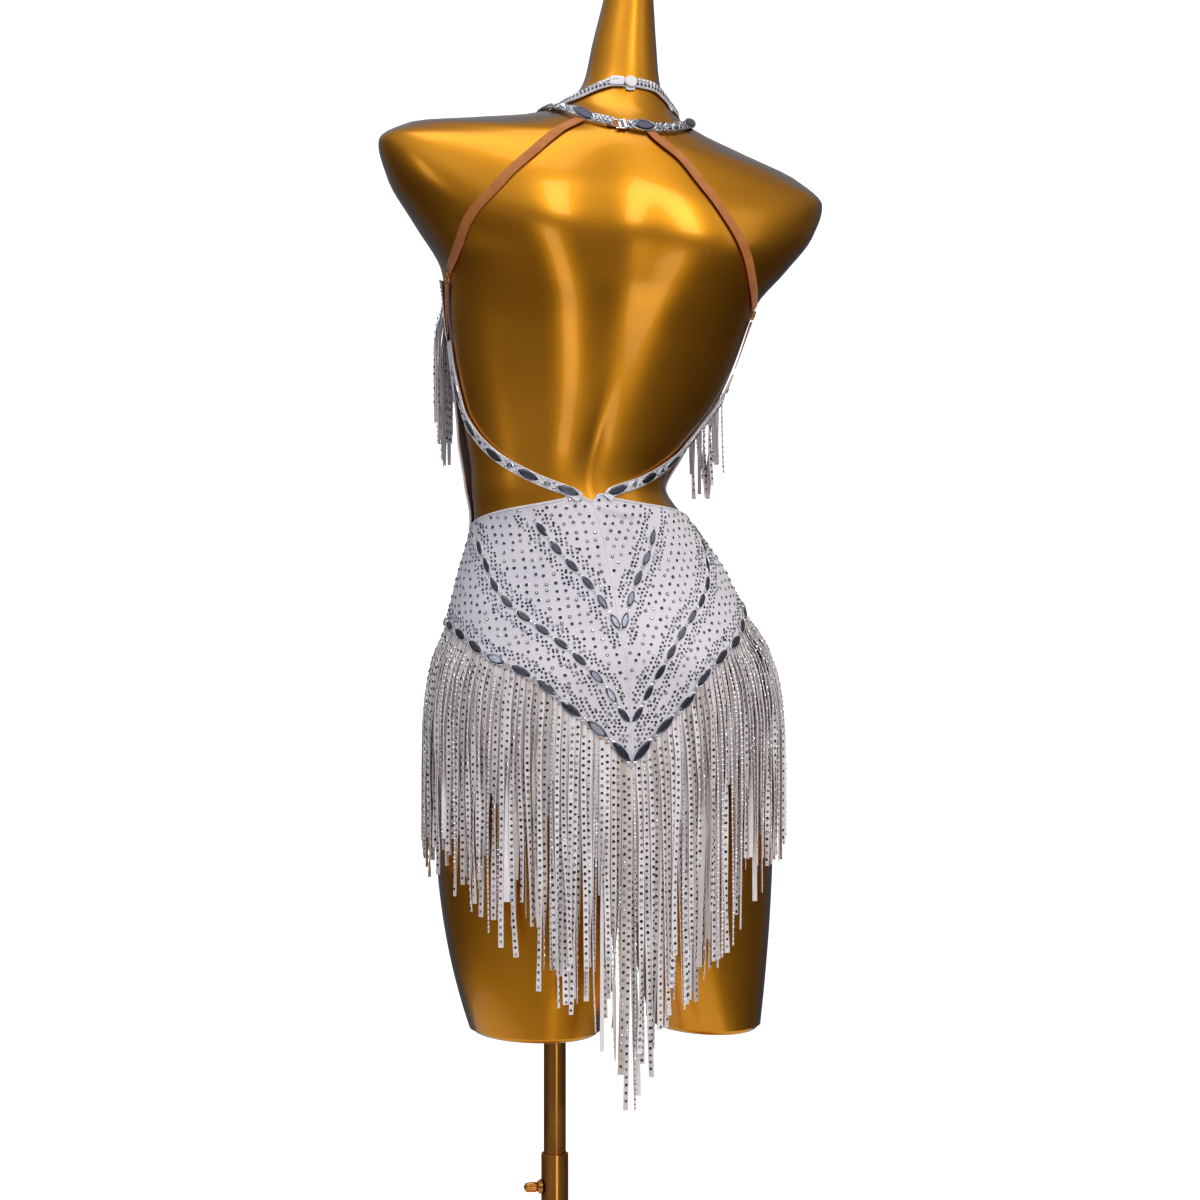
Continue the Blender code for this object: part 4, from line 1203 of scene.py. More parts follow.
def body_levels():
    """Levels of the form's rings: closer together where the shoulders turn in."""
    levels = [CROTCH]
    while levels[-1] < BODY[-1].level - 0.002:
        near_shoulder = SHOULDER_SPAN[0] < levels[-1] < SHOULDER_SPAN[1]
        levels.append(levels[-1] + (SHOULDER_STEP if near_shoulder else RING_STEP))
    return levels


def leg_ring(leg, loop, fall, inset=0.0):
    """One ring of a thigh stub; fall runs from 0 at the crotch to 1 at the cut."""
    half_ring = RING_POINTS // 2
    start = -45 if leg.side > 0 else 135
    ring = []
    for i, top in enumerate(loop):
        if i <= half_ring:
            degrees = start + 270 * i / half_ring
        else:
            degrees = start + 270 + 90 * (i - half_ring) / (SADDLE_POINTS + 1)
        side = math.sin(math.radians(degrees))
        rear = math.cos(math.radians(degrees))
        depth = leg.back if rear > 0 else leg.front
        foot = Vector(
            (leg.x + (leg.half - inset) * side, leg.y - (depth - inset) * rear, FORM_FOOT)
        )
        late = 1.6 + 0.8 * side * leg.side
        point = top.lerp(foot, fall**late)
        point.z = top.z + (FORM_FOOT - top.z) * fall
        ring.append(point)
    return ring


def saddle_between(work, front, back):
    """Vertices over the crotch, from front to back."""
    points = []
    for k in range(1, SADDLE_POINTS + 1):
        along = k / (SADDLE_POINTS + 1)
        point = front.co.lerp(back.co, along)
        point.z += SADDLE_RISE * math.sin(math.pi * along)
        points.append(work.verts.new(point))
    return points


def add_leg(work, leg, loop):
    """One thigh stub, from its loop at the crotch to its cut."""
    tops = [vert.co.copy() for vert in loop]
    straight = 1 - RIM_ROUND / (CROTCH - FORM_FOOT)
    rings = [leg_ring(leg, tops, straight * k / LEG_RINGS) for k in range(1, LEG_RINGS + 1)]
    for rim in THIGH_RIM:
        ring = leg_ring(leg, tops, 1.0, rim.inset)
        for point in ring:
            point.z = FORM_FOOT + rim.rise
        rings.append(ring)
    loops = [loop] + vert_loops(work, rings)
    if leg.side == POLE_SIDE:
        loops += socket_loops(work, loops[-1], leg)
    join_rings(work, loops)
    work.faces.new(loops[-1])


def form_mesh():
    """The smooth body: trunk, neck, shoulder caps, two cut thighs and the pole's socket."""
    work = bmesh.new()
    levels = body_levels()
    loops = vert_loops(
        work, [[body_point(level, angle) for angle in ring_angles(level)] for level in levels]
    )
    top = section_at(levels[-1])
    heart = Vector((top.x, top.y, levels[-1]))
    neck = [vert.co - heart for vert in loops[-1]]
    for cap in NECK_CAP:
        lift = heart + Vector((0, 0, cap.rise))
        loops += vert_loops(work, [[lift + point * cap.scale for point in neck]])
    join_rings(work, loops)
    work.faces.new(loops[-1])

    crotch = loops[0]
    half_ring = RING_POINTS // 2
    saddle = saddle_between(work, crotch[half_ring], crotch[0])
    for leg in LEGS:
        if leg.side > 0:
            add_leg(work, leg, crotch[: half_ring + 1] + saddle)
        else:
            add_leg(work, leg, crotch[half_ring:] + crotch[:1] + saddle[::-1])
    return finished_mesh("dress form", work, 40)


def socket_loops(work, rim, leg):
    """The blind hole in the stub's cut, where the pole goes in."""
    radius = POLE_RADIUS + SOCKET_CLEAR
    loops = []
    for z in (FORM_FOOT, FORM_FOOT + SOCKET_DEPTH):
        ring = []
        for vert in rim:
            angle = math.atan2(vert.co.y - leg.y, vert.co.x - leg.x)
            ring.append(work.verts.new((radius * math.cos(angle), radius * math.sin(angle), z)))
        loops.append(ring)
    return loops


def build_form(finish):
    """The gold form, smooth all over."""
    form = new_piece("gold form", form_mesh(), finish)
    finish_stand_piece(form, "figure", "dress_form")


# ======== cloth ========
def crease_at(level, angle):
    """How far the cloth's creases stand out at a place."""
    total = 0.0
    x = angle * METRES_PER_DEGREE
    for crease in CREASES:
        start = Vector((crease.angle * METRES_PER_DEGREE, crease.level))
        end = Vector((crease.end_angle * METRES_PER_DEGREE, crease.end_level))
        run = end - start
        share = (Vector((x, level)) - start).dot(run) / run.length_squared
        if not -0.2 < share < 1.2:
            continue
        held = min(1.0, max(0.0, share))
        away = (Vector((x, level)) - (start + run * held)).length / crease.width
        if away < 3:
            total += crease.height * math.exp(-away * away) * math.sin(math.pi * (held * 0.8 + 0.1))
    return total


def dress_gap(level, angle):
    """The cloth's stand-off: over the waist's hollow in front, and at its creases."""
    away = fold(angle)
    gap = CLOTH_GAP
    if away > SIDE_SEAM:
        edge = (away - SIDE_SEAM) / BELLY_HALF_ANGLE
        waist = (level - BELLY_LEVEL) / BELLY_HALF_LEVEL
        gap += BELLY_GAP * math.exp(-edge * edge - waist * waist)
    return max(gap + crease_at(level, angle if angle <= 180 else angle - 360), 0.0008)


def on_dress(level, angle, out=0.0):
    """A place on the dress, its angle from the dress's own centre back."""
    return on_body(level, angle + DRESS_TURN, dress_gap(level, angle) + out)


def on_cup(level, angle, out=0.0):
    """A place on a cup, its angle from the form's centre back."""
    return on_body(level, angle, CUP_GAP + out)


def panel_grid(angles, rows, foot, top, place, inset=SEAM_GAP / 2):
    """Points of a panel and their places on the flat cut, in metres."""
    grid, chart = [], []
    measured_at = HIP_LEVEL if foot is not CUP_FOOT_AT else BUST_LEVEL
    run = running_length([place(measured_at, angle) for angle in angles])
    for rise in spread(rows):
        row, flat = [], []
        for angle, across in zip(angles, run):
            low = foot(fold(angle)) + inset
            high = top(fold(angle)) - inset
            level = low + (high - low) * rise
            row.append(place(level, angle))
            flat.append((across, level))
        grid.append(row)
        chart.append(flat)
    return grid, chart


YOKE_TOP_AT = edge_curve(YOKE_TOP)
YOKE_HEM_AT = edge_curve(YOKE_HEM)
FRONT_TOP_AT = edge_curve(FRONT_TOP)
FRONT_HEM_AT = edge_curve(FRONT_HEM)
CUP_TOP_AT = edge_curve(CUP_TOP)
CUP_FOOT_AT = edge_curve(CUP_FOOT)
SEAM_TURN = 0.06


def build_panel(name, angles, rows, foot, top, place, finish, node):
    """One panel of cloth, with its wall on its outer side."""
    grid, chart = panel_grid(angles, rows, foot, top, place)
    panel = new_piece(name, grid_mesh(name, grid, chart), finish)
    wall = panel.modifiers.new("wall", "SOLIDIFY")
    wall.thickness = CLOTH_WALL
    wall.offset = 1.0
    wall.use_even_offset = False
    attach(panel, "figure")
    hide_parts(node)
    return panel


def build_panels(finish):
    """Two yokes behind, one front and two cups."""
    columns, rows = YOKE_GRID
    half = spaced_angles(SEAM_TURN, SIDE_SEAM - SEAM_TURN, columns, HIP_LEVEL)
    panels = {}
    for word, angles in (("left", [-angle for angle in half[::-1]]), ("right", half)):
        panels["yoke " + word] = build_panel(
            "yoke cloth " + word, angles, rows, YOKE_HEM_AT, YOKE_TOP_AT, on_dress, finish,
            "back_yoke_" + word,
        )
    columns, rows = FRONT_GRID
    half = spaced_angles(SIDE_SEAM + SEAM_TURN, 180, columns // 2, HIP_LEVEL)
    angles = half + [360 - angle for angle in half[-2::-1]]
    panels["front"] = build_panel(
        "front cloth", angles, rows, FRONT_HEM_AT, FRONT_TOP_AT, on_dress, finish, "front_panel"
    )
    columns, rows = CUP_GRID
    half = spaced_angles(CUP_SIDE, CUP_CENTRE, columns, BUST_LEVEL)
    for word, angles in (("left", [-angle for angle in half[::-1]]), ("right", half)):
        panels["cup " + word] = build_panel(
            "cup cloth " + word, angles, rows, CUP_FOOT_AT, CUP_TOP_AT, on_cup, finish,
            "cup_" + word,
        )
    return panels


def faced(place, level, angle, out):
    """A place and its outward direction."""
    here = place(level, angle, out)
    return here, (place(level, angle, out + OUT_PROBE) - here).normalized()


def line_over(place, spots, out):
    """Points and outward directions over (level, angle) spots."""
    pairs = [faced(place, level, angle, out) for level, angle in spots]
    return [here for here, _ in pairs], [facing for _, facing in pairs]


def edge_path(table_at, angles, place, drop, width):
    """A binding's path along an edge of the cloth."""
    spots = [(table_at(fold(angle)) + drop, angle) for angle in angles]
    return even_path(*line_over(place, spots, BINDING_SEAT), width)


def rise_path(angle, low, high, width):
    """A seam ridge's path straight up the dress."""
    spots = [(level, angle) for level in between(low, high, 40)]
    return even_path(*line_over(on_dress, spots, SEAM_SEAT), width)


# ======== chains and field stones ========
def path_along(table, side, place, out):
    """Points along one arm of a chain, from its tip outwards."""
    level_at = edge_curve(table)
    angles = between(table[0].angle, table[-1].angle, 160)
    return line_over(place, [(level_at(angle), side * angle) for angle in angles], out)


def walker(points, outs):
    """A function from a distance along a path to its place, out and along directions."""
    run = running_length(points)

    def at(distance):
        held = max(0.0, min(distance, run[-1] - 1e-6))
        k = max(i for i in range(len(run) - 1) if run[i] <= held)
        share = (distance - run[k]) / (run[k + 1] - run[k])
        along = (points[k + 1] - points[k]).normalized()
        out = outs[k].lerp(outs[k + 1], share).normalized()
        return points[k].lerp(points[k + 1], share), out, along

    return at, run[-1]


def chain_spots(points, outs, navette, last):
    """Navettes end to end along a path, with a pair of round stones in each joint."""
    at, total = walker(points, outs)
    long_spots, joint_spots = [], []
    here = CHAIN_START
    while True:
        share = min(1.0, here / total)
        length = navette.length + (last.length - navette.length) * share
        width = navette.width + (last.width - navette.width) * share
        if here + length > total:
            return long_spots, joint_spots
        point, out, along = at(here + length / 2)
        size = (length / 2, width / 2 / NAVETTE_SLIM, length / 2)
        long_spots.append(Spot(point, out, along, size))
        if here + length + navette.gap < total:
            point, out, along = at(here + length + navette.gap / 2)
            across = out.cross(along).normalized()
            reach = navette.gap * 0.42
            for sign in (-1, 1):
                place = point + across * sign * reach
                joint_spots.append(Spot(place, out, along, (reach, reach, reach * 1.6)))
        here += length + navette.gap


def body_lattice(pitch, foot, top, first, last, place, margin):
    """Staggered places over a panel, in rows from its foot to its top."""
    edge_angles = between(first, last, 30)
    low = min(foot(fold(angle)) for angle in edge_angles)
    high = max(top(fold(angle)) for angle in edge_angles)
    step = pitch * ROW_STEP
    samples = between(first, last, 70)
    for r in range(int((high - low) / step) + 1):
        level = low + r * step
        run = running_length([place(level, angle) for angle in samples])
        angle_at = monotone_curve(run, samples)
        across = margin + (0.5 * pitch if r % 2 else 0.0)
        while across < run[-1] - margin:
            angle = angle_at(across)
            if foot(fold(angle)) + margin < level < top(fold(angle)) - margin:
                yield level, angle
            across += pitch


def scatter(pitch, jitter, sizes, region, keep, seed):
    """Jittered stones over a panel, kept where they may be."""
    place = region[4]
    chance = random.Random(seed)
    spots = []
    for level, angle in body_lattice(pitch, *region):
        level += chance.uniform(-jitter, jitter)
        angle += chance.uniform(-jitter, jitter) / METRES_PER_DEGREE
        size = chance.uniform(*sizes)
        spin = chance.uniform(0, math.pi)
        lean = (chance.uniform(-0.20, 0.20), chance.uniform(-0.20, 0.20))
        here, normal = faced(place, level, angle, STONE_SEAT)
        if not keep(here):
            continue
        flat = Vector((0, 0, 1)).cross(normal).normalized()
        rise = normal.cross(flat)
        tilted = (normal + flat * lean[0] + rise * lean[1]).normalized()
        along = flat * math.cos(spin) + rise * math.sin(spin)
        spots.append(Spot(here, tilted, along, (size, size, size)))
    return spots


def near_tree(spots_list):
    """A search tree over the chains' places."""
    points = [point for points in spots_list for point in points]
    tree = kdtree.KDTree(len(points))
    for k, point in enumerate(points):
        tree.insert(point, k)
    tree.balance()
    return tree


def dress_piece(piece, slot, *nodes):
    """Tie a piece of the dress to the form's body."""
    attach(piece, "figure")
    if nodes:
        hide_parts(*nodes)
    return piece


def chain_pieces(chains, hem_table, sides, place):
    """Every chain of a panel: its marks, its navettes and its joint stones."""
    marks, long_spots, joint_spots = [], [], []
    hem = [Edge(row.angle, row.level + HEM_CHAIN_RISE) for row in hem_table]
    rows = [(chain, STONE_SEAT, YOKE_NAVETTE, YOKE_NAVETTE) for chain in chains]
    rows.append((hem, STONE_SEAT + HEM_PROUD, HEM_NAVETTE, HEM_END_NAVETTE))
    for table, out, navette, last in rows:
        for side in sides:
            points, outs = path_along(table, side, place, out)
            if hem_table is FRONT_HEM:
                points, outs = points[::-1], outs[::-1]
            marks.append(points)
            spots = chain_spots(points, outs, navette, last)
            long_spots += spots[0]
            joint_spots += spots[1]
    return marks, long_spots, joint_spots


def build_panel_stones(name, chains, region, hem_table, finishes, seed):
    """Chains, their close stones and the field of a panel, a piece for each kind."""
    _, _, first, last, place, _ = region
    sides = sorted({math.copysign(1, angle if angle <= 180 else angle - 360)
                    for angle in (first + 1, last - 1)})
    marks, long_spots, joint_spots = chain_pieces(chains, hem_table, sides, place)
    tree = near_tree(marks)

    def in_field(point):
        return tree.find(point)[2] > BESIDE_REACH

    def beside(point):
        return CHAIN_CLEAR < tree.find(point)[2] < BESIDE_REACH - 0.001

    field = scatter(FIELD_PITCH, FIELD_JITTER, FIELD_STONE, region, in_field, seed)
    close = scatter(BESIDE_PITCH, BESIDE_JITTER, BESIDE_STONE, region, beside, seed + 1)
    return [
        set_stones(name + " " + word, spots, shape, facets, finishes, seed)
        for word, spots, shape, facets in (
            ("field stones", field, "field", "crystal"),
            ("close stones", close, "small", "close"),
            ("chain joints", joint_spots, "small", "bright"),
            ("chain navettes", long_spots, "navette", "slate"),
        )
    ]


# ======== fringe ========
def fringe_column(angle, turn, top_level, drop, gap, rows):
    """A strand's path: over the body while it widens, then straight down."""
    around = math.radians(angle + turn)
    ray = Vector((math.sin(around), -math.cos(around), 0))
    start = on_body(top_level, angle + turn, gap)
    reach = 0.0
    checked = top_level
    column = []
    for share in spread(rows):
        level = top_level - drop * share
        while checked > max(level, BODY[0].level):
            reach = max(reach, (on_body(checked, angle + turn, gap) - start).dot(ray))
            checked -= 0.006
        place = start + ray * (reach + FRINGE_SWING * min(1.0, 3 * share))
        column.append(Vector((place.x, place.y, start.z - drop * share)))
    return column, ray


def ease(share):
    """A smooth step from 0 to 1."""
    share = max(0.0, min(1.0, share))
    return share * share * (3 - 2 * share)


Curtain = namedtuple("Curtain", "angles turn tops ends gap")


Strand = namedtuple(
    "Strand", "angle width drop plain turn_to turn_start ripple sway lean phase shade"
)


def draw_strand(chance, curtain, layer, number, angle):
    """A strand's own sizes and turns, drawn in a fixed order."""
    width = chance.uniform(*TAPE_WIDTH) * layer.widen
    full = curtain.tops(fold(angle)) - curtain.ends(fold(angle))
    fall_short = (layer.short[1] - layer.short[0]) * chance.random() ** 1.6
    if number and fold(angle) < TIP_REACH:
        fall_short *= 0.12
    drop = (full - 0.001) * (layer.short[1] - fall_short)
    plain = not layer.calm and chance.random() < STRING_SHARE
    turn_to = math.radians(chance.gauss(0, STRAND_TURN))
    if chance.random() < TWIST_SHARE:
        turn_to = math.radians(chance.choice((-1, 1)) * chance.uniform(*TWIST_TURN))
    turn_start = chance.uniform(0.0, 0.5)
    ripple = chance.choice(STRAND_RIPPLES)
    sway = chance.gauss(0, STRAND_SWAY)
    lean = chance.gauss(0, STRAND_LEAN)
    phase = chance.uniform(0, 6.28)
    shade = chance.random()
    if layer.calm:
        turn_to, ripple, sway, lean = 0.0, 0.05, 0.0, 0.0
    return Strand(
        angle, width, drop, plain, turn_to, turn_start, ripple, sway, lean, phase, shade
    )


def strand_path(curtain, layer, strand):
    """A strand's points, its facing at each of them and its sideways direction."""
    top_level = curtain.tops(fold(strand.angle)) - FRINGE_DROP
    column, ray = fringe_column(
        strand.angle, curtain.turn, top_level, strand.drop, curtain.gap + layer.lift, TAPE_ROWS
    )
    side = Vector((-ray.y, ray.x, 0))
    points, outs = [], []
    for k, point in enumerate(column):
        share = k / TAPE_ROWS
        wave = math.sin(5 * share + strand.phase) - math.sin(strand.phase)
        tucked = ray * (0.85 * layer.lift * (1.0 - ease(6 * share)))
        drift = strand.sway * wave * share + strand.lean * share * share
        points.append(point - tucked + side * drift)
        turn = strand.turn_to * ease((share - strand.turn_start) / 0.5)
        turn += strand.ripple * ease(3 * share) * math.sin(11 * share + strand.phase)
        outs.append((ray * math.cos(turn) + side * math.sin(turn)).normalized())
    return points, outs, side


def string_beads(chance, thin, points, outs):
    """Beads down a thin string."""
    at, total = walker(points, outs)
    beads = []
    here = 0.010
    while here < total:
        point, out, along = at(here)
        size = thin * chance.uniform(0.75, 0.95)
        beads.append(Spot(point, out, along, (size, size, size * 1.4)))
        here += STRING_STONE_PITCH * chance.uniform(0.8, 1.5)
    return beads


def tape_stones(chance, width, side, points, outs, bare):
    """Stones down a tape; bare is the share of its length without them at the top."""
    at, total = walker(points, outs)
    stones = []
    pitch = chance.uniform(*TAPE_STONE_PITCH)
    here = 0.006 + chance.uniform(0, pitch) + total * bare
    while here < total - 0.0022:
        point, out, along = at(here)
        size = TAPE_STONE * chance.uniform(0.85, 1.1)
        place = point + out * width * TAPE_WALL / 2
        lean_to = along * chance.uniform(-0.25, 0.25) + side * chance.uniform(-0.25, 0.25)
        stones.append(Spot(place, (out + lean_to).normalized(), along, (size,) * 3))
        here += pitch
    return stones


def hang_fringe(name, curtain, layers, finishes, node, seed):
    """Tapes in layers with their stones, and the thin beaded strings between them."""
    chance = random.Random(seed)
    tapes, strings, stones, beads = [], [], [], []
    for number, layer in enumerate(layers):
        step = (curtain.angles[1] - curtain.angles[0]) * 0.5 * (number % 2)
        for angle in curtain.angles:
            angle += step + chance.uniform(-STRAND_JITTER, STRAND_JITTER)
            strand = draw_strand(chance, curtain, layer, number, angle)
            points, outs, side = strand_path(curtain, layer, strand)
            if strand.plain:
                thin = chance.uniform(*STRING_WIDTH)
                # Strings take the beiger half of the tape's tones, partly painted gold reflection
                # and shade.
                strings.append(even_path(points, outs, thin, strand.shade * 0.5))
                beads += string_beads(chance, thin, points, outs)
                continue
            tapes.append(even_path(points, outs, strand.width, strand.shade))
            if not layer.calm:
                bare = 0.0 if number == 2 else 0.30
                stones += tape_stones(chance, strand.width, side, points, outs, bare)
    pieces = [
        sweep_bands(name + " tapes", tapes, finishes["tape"], TAPE_WALL),
        sweep_bands(name + " strings", strings, finishes["tape"], 1.0, 0.0, True),
    ]
    dress_piece(pieces[0], "fringe_tape", node)
    dress_piece(pieces[1], "fringe_tape")
    half = len(stones) // 2
    for word, spots, shape, facets in (
        ("stones upper", stones[:half], "tape", "tape stone"),
        ("stones lower", stones[half:], "tape", "tape stone"),
        ("beads", beads, "bead", "bright"),
    ):
        pieces.append(set_stones(name + " " + word, spots, shape, facets, finishes, seed))
    return pieces


# ======== straps and bands ========
def ribbon_path(rows, steps, gap, start_width, end_width=None):
    """A flat strap's path along (angle, level) places on the form."""
    order = list(range(len(rows)))
    angle_at = monotone_curve(order, [row[0] for row in rows])
    level_at = monotone_curve(order, [row[1] for row in rows])
    points, outs, widths = [], [], []
    for share in spread(steps):
        t = order[-1] * share
        points.append(on_body(level_at(t), angle_at(t), gap))
        outs.append(body_normal(level_at(t), angle_at(t)))
        widths.append(start_width + ((end_width or start_width) - start_width) * share)
    return points, outs, widths, 0.5


def strap_rows(table, word):
    """A strap table's rows for one side, as (angle, level)."""
    return [(getattr(row, word), row.level) for row in table]


def trim_path(points, outs, lift, pattern, start, end):
    """Stones along a strap by a repeating pattern of (shape, length, width, shift, roll)."""
    at, total = walker(points, outs)
    slimness = {"navette": NAVETTE_SLIM, "oval": OVAL_SLIM}
    placed = {}
    here = start
    for shape, length, width, shift, roll in cycle(pattern):
        if here + length > total - end:
            return placed
        point, out, along = at(here + length / 2)
        across = out.cross(along).normalized()
        heading = along * math.cos(math.radians(roll)) + across * math.sin(math.radians(roll))
        half_long = length / 2 if shape in slimness else width / 2
        size = (half_long, width / 2 / slimness.get(shape, 1.0), half_long)
        spot = Spot(point + out * lift + across * shift, out, heading, size)
        placed.setdefault(shape, []).append(spot)
        here += length


def set_trim(name, placed, finishes, seed):
    """One piece for each stone shape on a strap."""
    for shape, spots in placed.items():
        set_stones(name + " " + shape + "s", spots, shape, TRIM_FACETS[shape], finishes, seed)


STRAP_PATTERN = [
    ("navette", 0.0265, 0.0094, 0.0, 0), ("small", 0.0001, 0.0036, 0.0026, 0),
    ("small", 0.0034, 0.0036, -0.0026, 0), ("oval", 0.0082, 0.0066, 0.0, 24),
    ("small", 0.0001, 0.0034, 0.0026, 0), ("small", 0.0030, 0.0034, -0.0026, 0),
]
HALTER_PATTERN = [
    ("oval", 0.0044, 0.0094, 0.0, 30), ("oval", 0.0044, 0.0094, 0.0, 30),
    ("oval", 0.0044, 0.0094, 0.0, 30), ("navette", 0.0300, 0.0118, 0.0, 0),
    ("oval", 0.0044, 0.0090, 0.0, 28), ("oval", 0.0044, 0.0090, 0.0, 28),
    ("oval", 0.0105, 0.0088, 0.0, -20), ("oval", 0.0105, 0.0088, 0.0, 22),
]
TRIM_FACETS = {"navette": "slate", "oval": "smoke", "small": "bright"}
GEM_STEPS = 90
GEM_LAP_FROM = 72
GEM_EDGE = 0.0045


def build_straps(finishes):
    """Gem straps, elastic straps, their rings and tabs."""
    for number, (word, end, tuck) in enumerate((
        ("left", (-10.5, 1.0185), (-40.5, 1.3850)), ("right", (9.5, 1.0185), (20.5, 1.3820)),
    )):
        gem = ribbon_path(
            strap_rows(GEM_STRAP, word) + [end], GEM_STEPS, STRAP_GAP + 0.0008, 0.0100
        )
        points, outs = gem[:2]
        for k in range(GEM_LAP_FROM, GEM_STEPS + 1):
            points[k] += outs[k] * YOKE_LAP * ease((k - GEM_LAP_FROM) / 10)
        band = sweep_bands("gem strap band " + word, [gem], finishes["binding"], 0.16, 0.05)
        dress_piece(band, "gem_trim", "gem_strap_" + word)
        placed = trim_path(points[::-1], outs[::-1], 0.0007, STRAP_PATTERN, 0.001, 0.001)
        set_trim("gem strap " + word, placed, finishes, 40 + number)
        edges = []
        for sign in (-1, 1):
            edge = []
            for k, (point, out) in enumerate(zip(points, outs)):
                ahead = points[min(k + 1, GEM_STEPS)] - points[max(k - 1, 0)]
                across = out.cross(ahead).normalized()
                edge.append(point + across * sign * GEM_EDGE + out * 0.0007)
            edges.append(even_path(edge, outs, 0.0014, 0.8))
        rails = sweep_bands("gem strap piping " + word, edges, finishes["silver"], 1.0, 0.0, True)
        dress_piece(rails, "gem_trim")

        elastic = ribbon_path(
            [tuck] + strap_rows(ELASTIC, word), 120, STRAP_GAP + 0.0006, 0.0095
        )
        piece = sweep_bands("elastic band " + word, [elastic], finishes["tan"], 0.13, 0.04)
        dress_piece(piece, "tan_elastic", "elastic_strap_" + word)
        tab = ribbon_path(strap_rows(STRAP_TAB, word), 40, STRAP_GAP + 0.0008, 0.0090, 0.0034)
        piece = sweep_bands("elastic tab " + word, [tab], finishes["tan"], 0.17, 0.05)
        dress_piece(piece, "tan_elastic", "strap_tab_" + word)
        build_ring(word, finishes["brass"])


def build_ring(word, finish):
    """A strap ring lying flat on the form."""
    elastic, tab = strap_rows(ELASTIC, word), strap_rows(STRAP_TAB, word)
    angle = (elastic[-1][0] + tab[0][0]) / 2
    level = (elastic[-1][1] + tab[0][1]) / 2
    around, wire = 40, 14
    grid = []
    for k in range(around):
        turn = 2 * math.pi * k / around
        row = []
        for j in range(wire):
            roll = 2 * math.pi * j / wire
            reach = RING_RADIUS + RING_WIRE * math.cos(roll)
            row.append(Vector(
                (reach * math.cos(turn), reach * math.sin(turn), RING_WIRE * math.sin(roll))
            ))
        grid.append(row)
    mesh = grid_mesh("strap ring", grid + grid[:1], ring=True)
    work = bmesh.new()
    work.from_mesh(mesh)
    bmesh.ops.remove_doubles(work, verts=work.verts, dist=0.00001)
    bmesh.ops.recalc_face_normals(work, faces=work.faces)
    work.to_mesh(mesh)
    work.free()
    mesh.transform(body_matrix(level, angle, STRAP_GAP + RING_WIRE))
    piece = new_piece("brass ring " + word, mesh, finish)
    dress_piece(piece, "ring_brass", "strap_ring_" + word)


def build_choker(finishes):
    """The upper band: a pale band with two rows of stones."""
    level_at = edge_curve(UPPER_BAND)
    angles = between(CHOKER_GAP[1] - 7.0, 360 + CHOKER_GAP[0] + 5.0, 14)
    rows = [(angle, level_at(fold(angle))) for angle in angles]
    band = ribbon_path(rows, 150, STRAP_GAP + 0.0008, 0.0098)
    piece = sweep_bands("choker band", [band], finishes["binding"], 0.15, 0.04)
    dress_piece(piece, "white_stretch", "upper_neck_band")
    at, total = walker(band[0], band[1])
    for word, shift, size, pitch, facets in (
        ("upper", 0.0023, 0.00205, 0.0042, "bright"), ("lower", -0.0020, 0.00200, 0.0042, "dark"),
    ):
        spots = []
        here = 0.0018
        while here < total - 0.0015:
            point, out, along = at(here)
            across = out.cross(along).normalized()
            place = point + across * shift + out * 0.0008
            spots.append(Spot(place, out, along, (size, size, size * 1.15)))
            here += pitch
        set_stones("choker stones " + word, spots, "field", facets, finishes, 50)
    under = [(level_at(fold(360 * share)) - 0.0046, 360 * share) for share in spread(180)]
    points = [on_body(level, angle, STRAP_GAP + 0.0004) for level, angle in under]
    outs = [body_normal(level, angle) for level, angle in under]
    piping("choker edge", [even_path(points, outs, 0.0012, 0.3)], finishes)


HALTER_STEPS = 160
SHOULDER_ROW = 3.2
SHOULDER_EASE = 1.3
FACING_PROUD = 0.0044


def build_halter(finishes):
    """The lower band's two halves, with large navettes and small ovals."""
    for number, (word, sign, first) in enumerate(
        (("left", -1, HALTER_GAP[0]), ("right", 1, HALTER_GAP[1]))
    ):
        rows = [(first, HALTER_LEVEL)] + [(sign * row.angle, row.level) for row in LOWER_BAND]
        band = ribbon_path(rows, HALTER_STEPS, STRAP_GAP + 0.0008, 0.0092)
        points, outs = band[:2]
        for k, (point, out) in enumerate(zip(points, outs)):
            row = k / HALTER_STEPS * (len(rows) - 1)
            over_shoulder = ease((row - SHOULDER_ROW) / SHOULDER_EASE)
            upright = HALTER_FACING + (1.0 - HALTER_FACING) * over_shoulder
            facing = Vector((out.x, out.y, out.z * upright)).normalized()
            points[k] = point + out * FACING_PROUD * math.sin(out.angle(facing))
            outs[k] = facing
        piece = sweep_bands("halter band " + word, [band], finishes["cluster"], 0.17, 0.06)
        dress_piece(piece, "gem_trim", "lower_neck_band_" + word)
        pattern = HALTER_PATTERN if sign < 0 else HALTER_PATTERN[3:] + HALTER_PATTERN[:3]
        placed = trim_path(points, outs, 0.0008, pattern, 0.0015, 0.001)
        set_trim("halter band " + word, placed, finishes, 60 + number)


# ======== clasps ========
def plate_outline(half_wide, half_tall, corner, count=48):
    """A rounded rectangle as an even loop of (x, y)."""
    points = []
    for k in range(count):
        turn = 2 * math.pi * (k + 0.5) / count
        x, y = math.cos(turn), math.sin(turn)
        reach = (abs(x) ** corner + abs(y) ** corner) ** (-1 / corner)
        points.append((x * reach * half_wide, y * reach * half_tall))
    return points


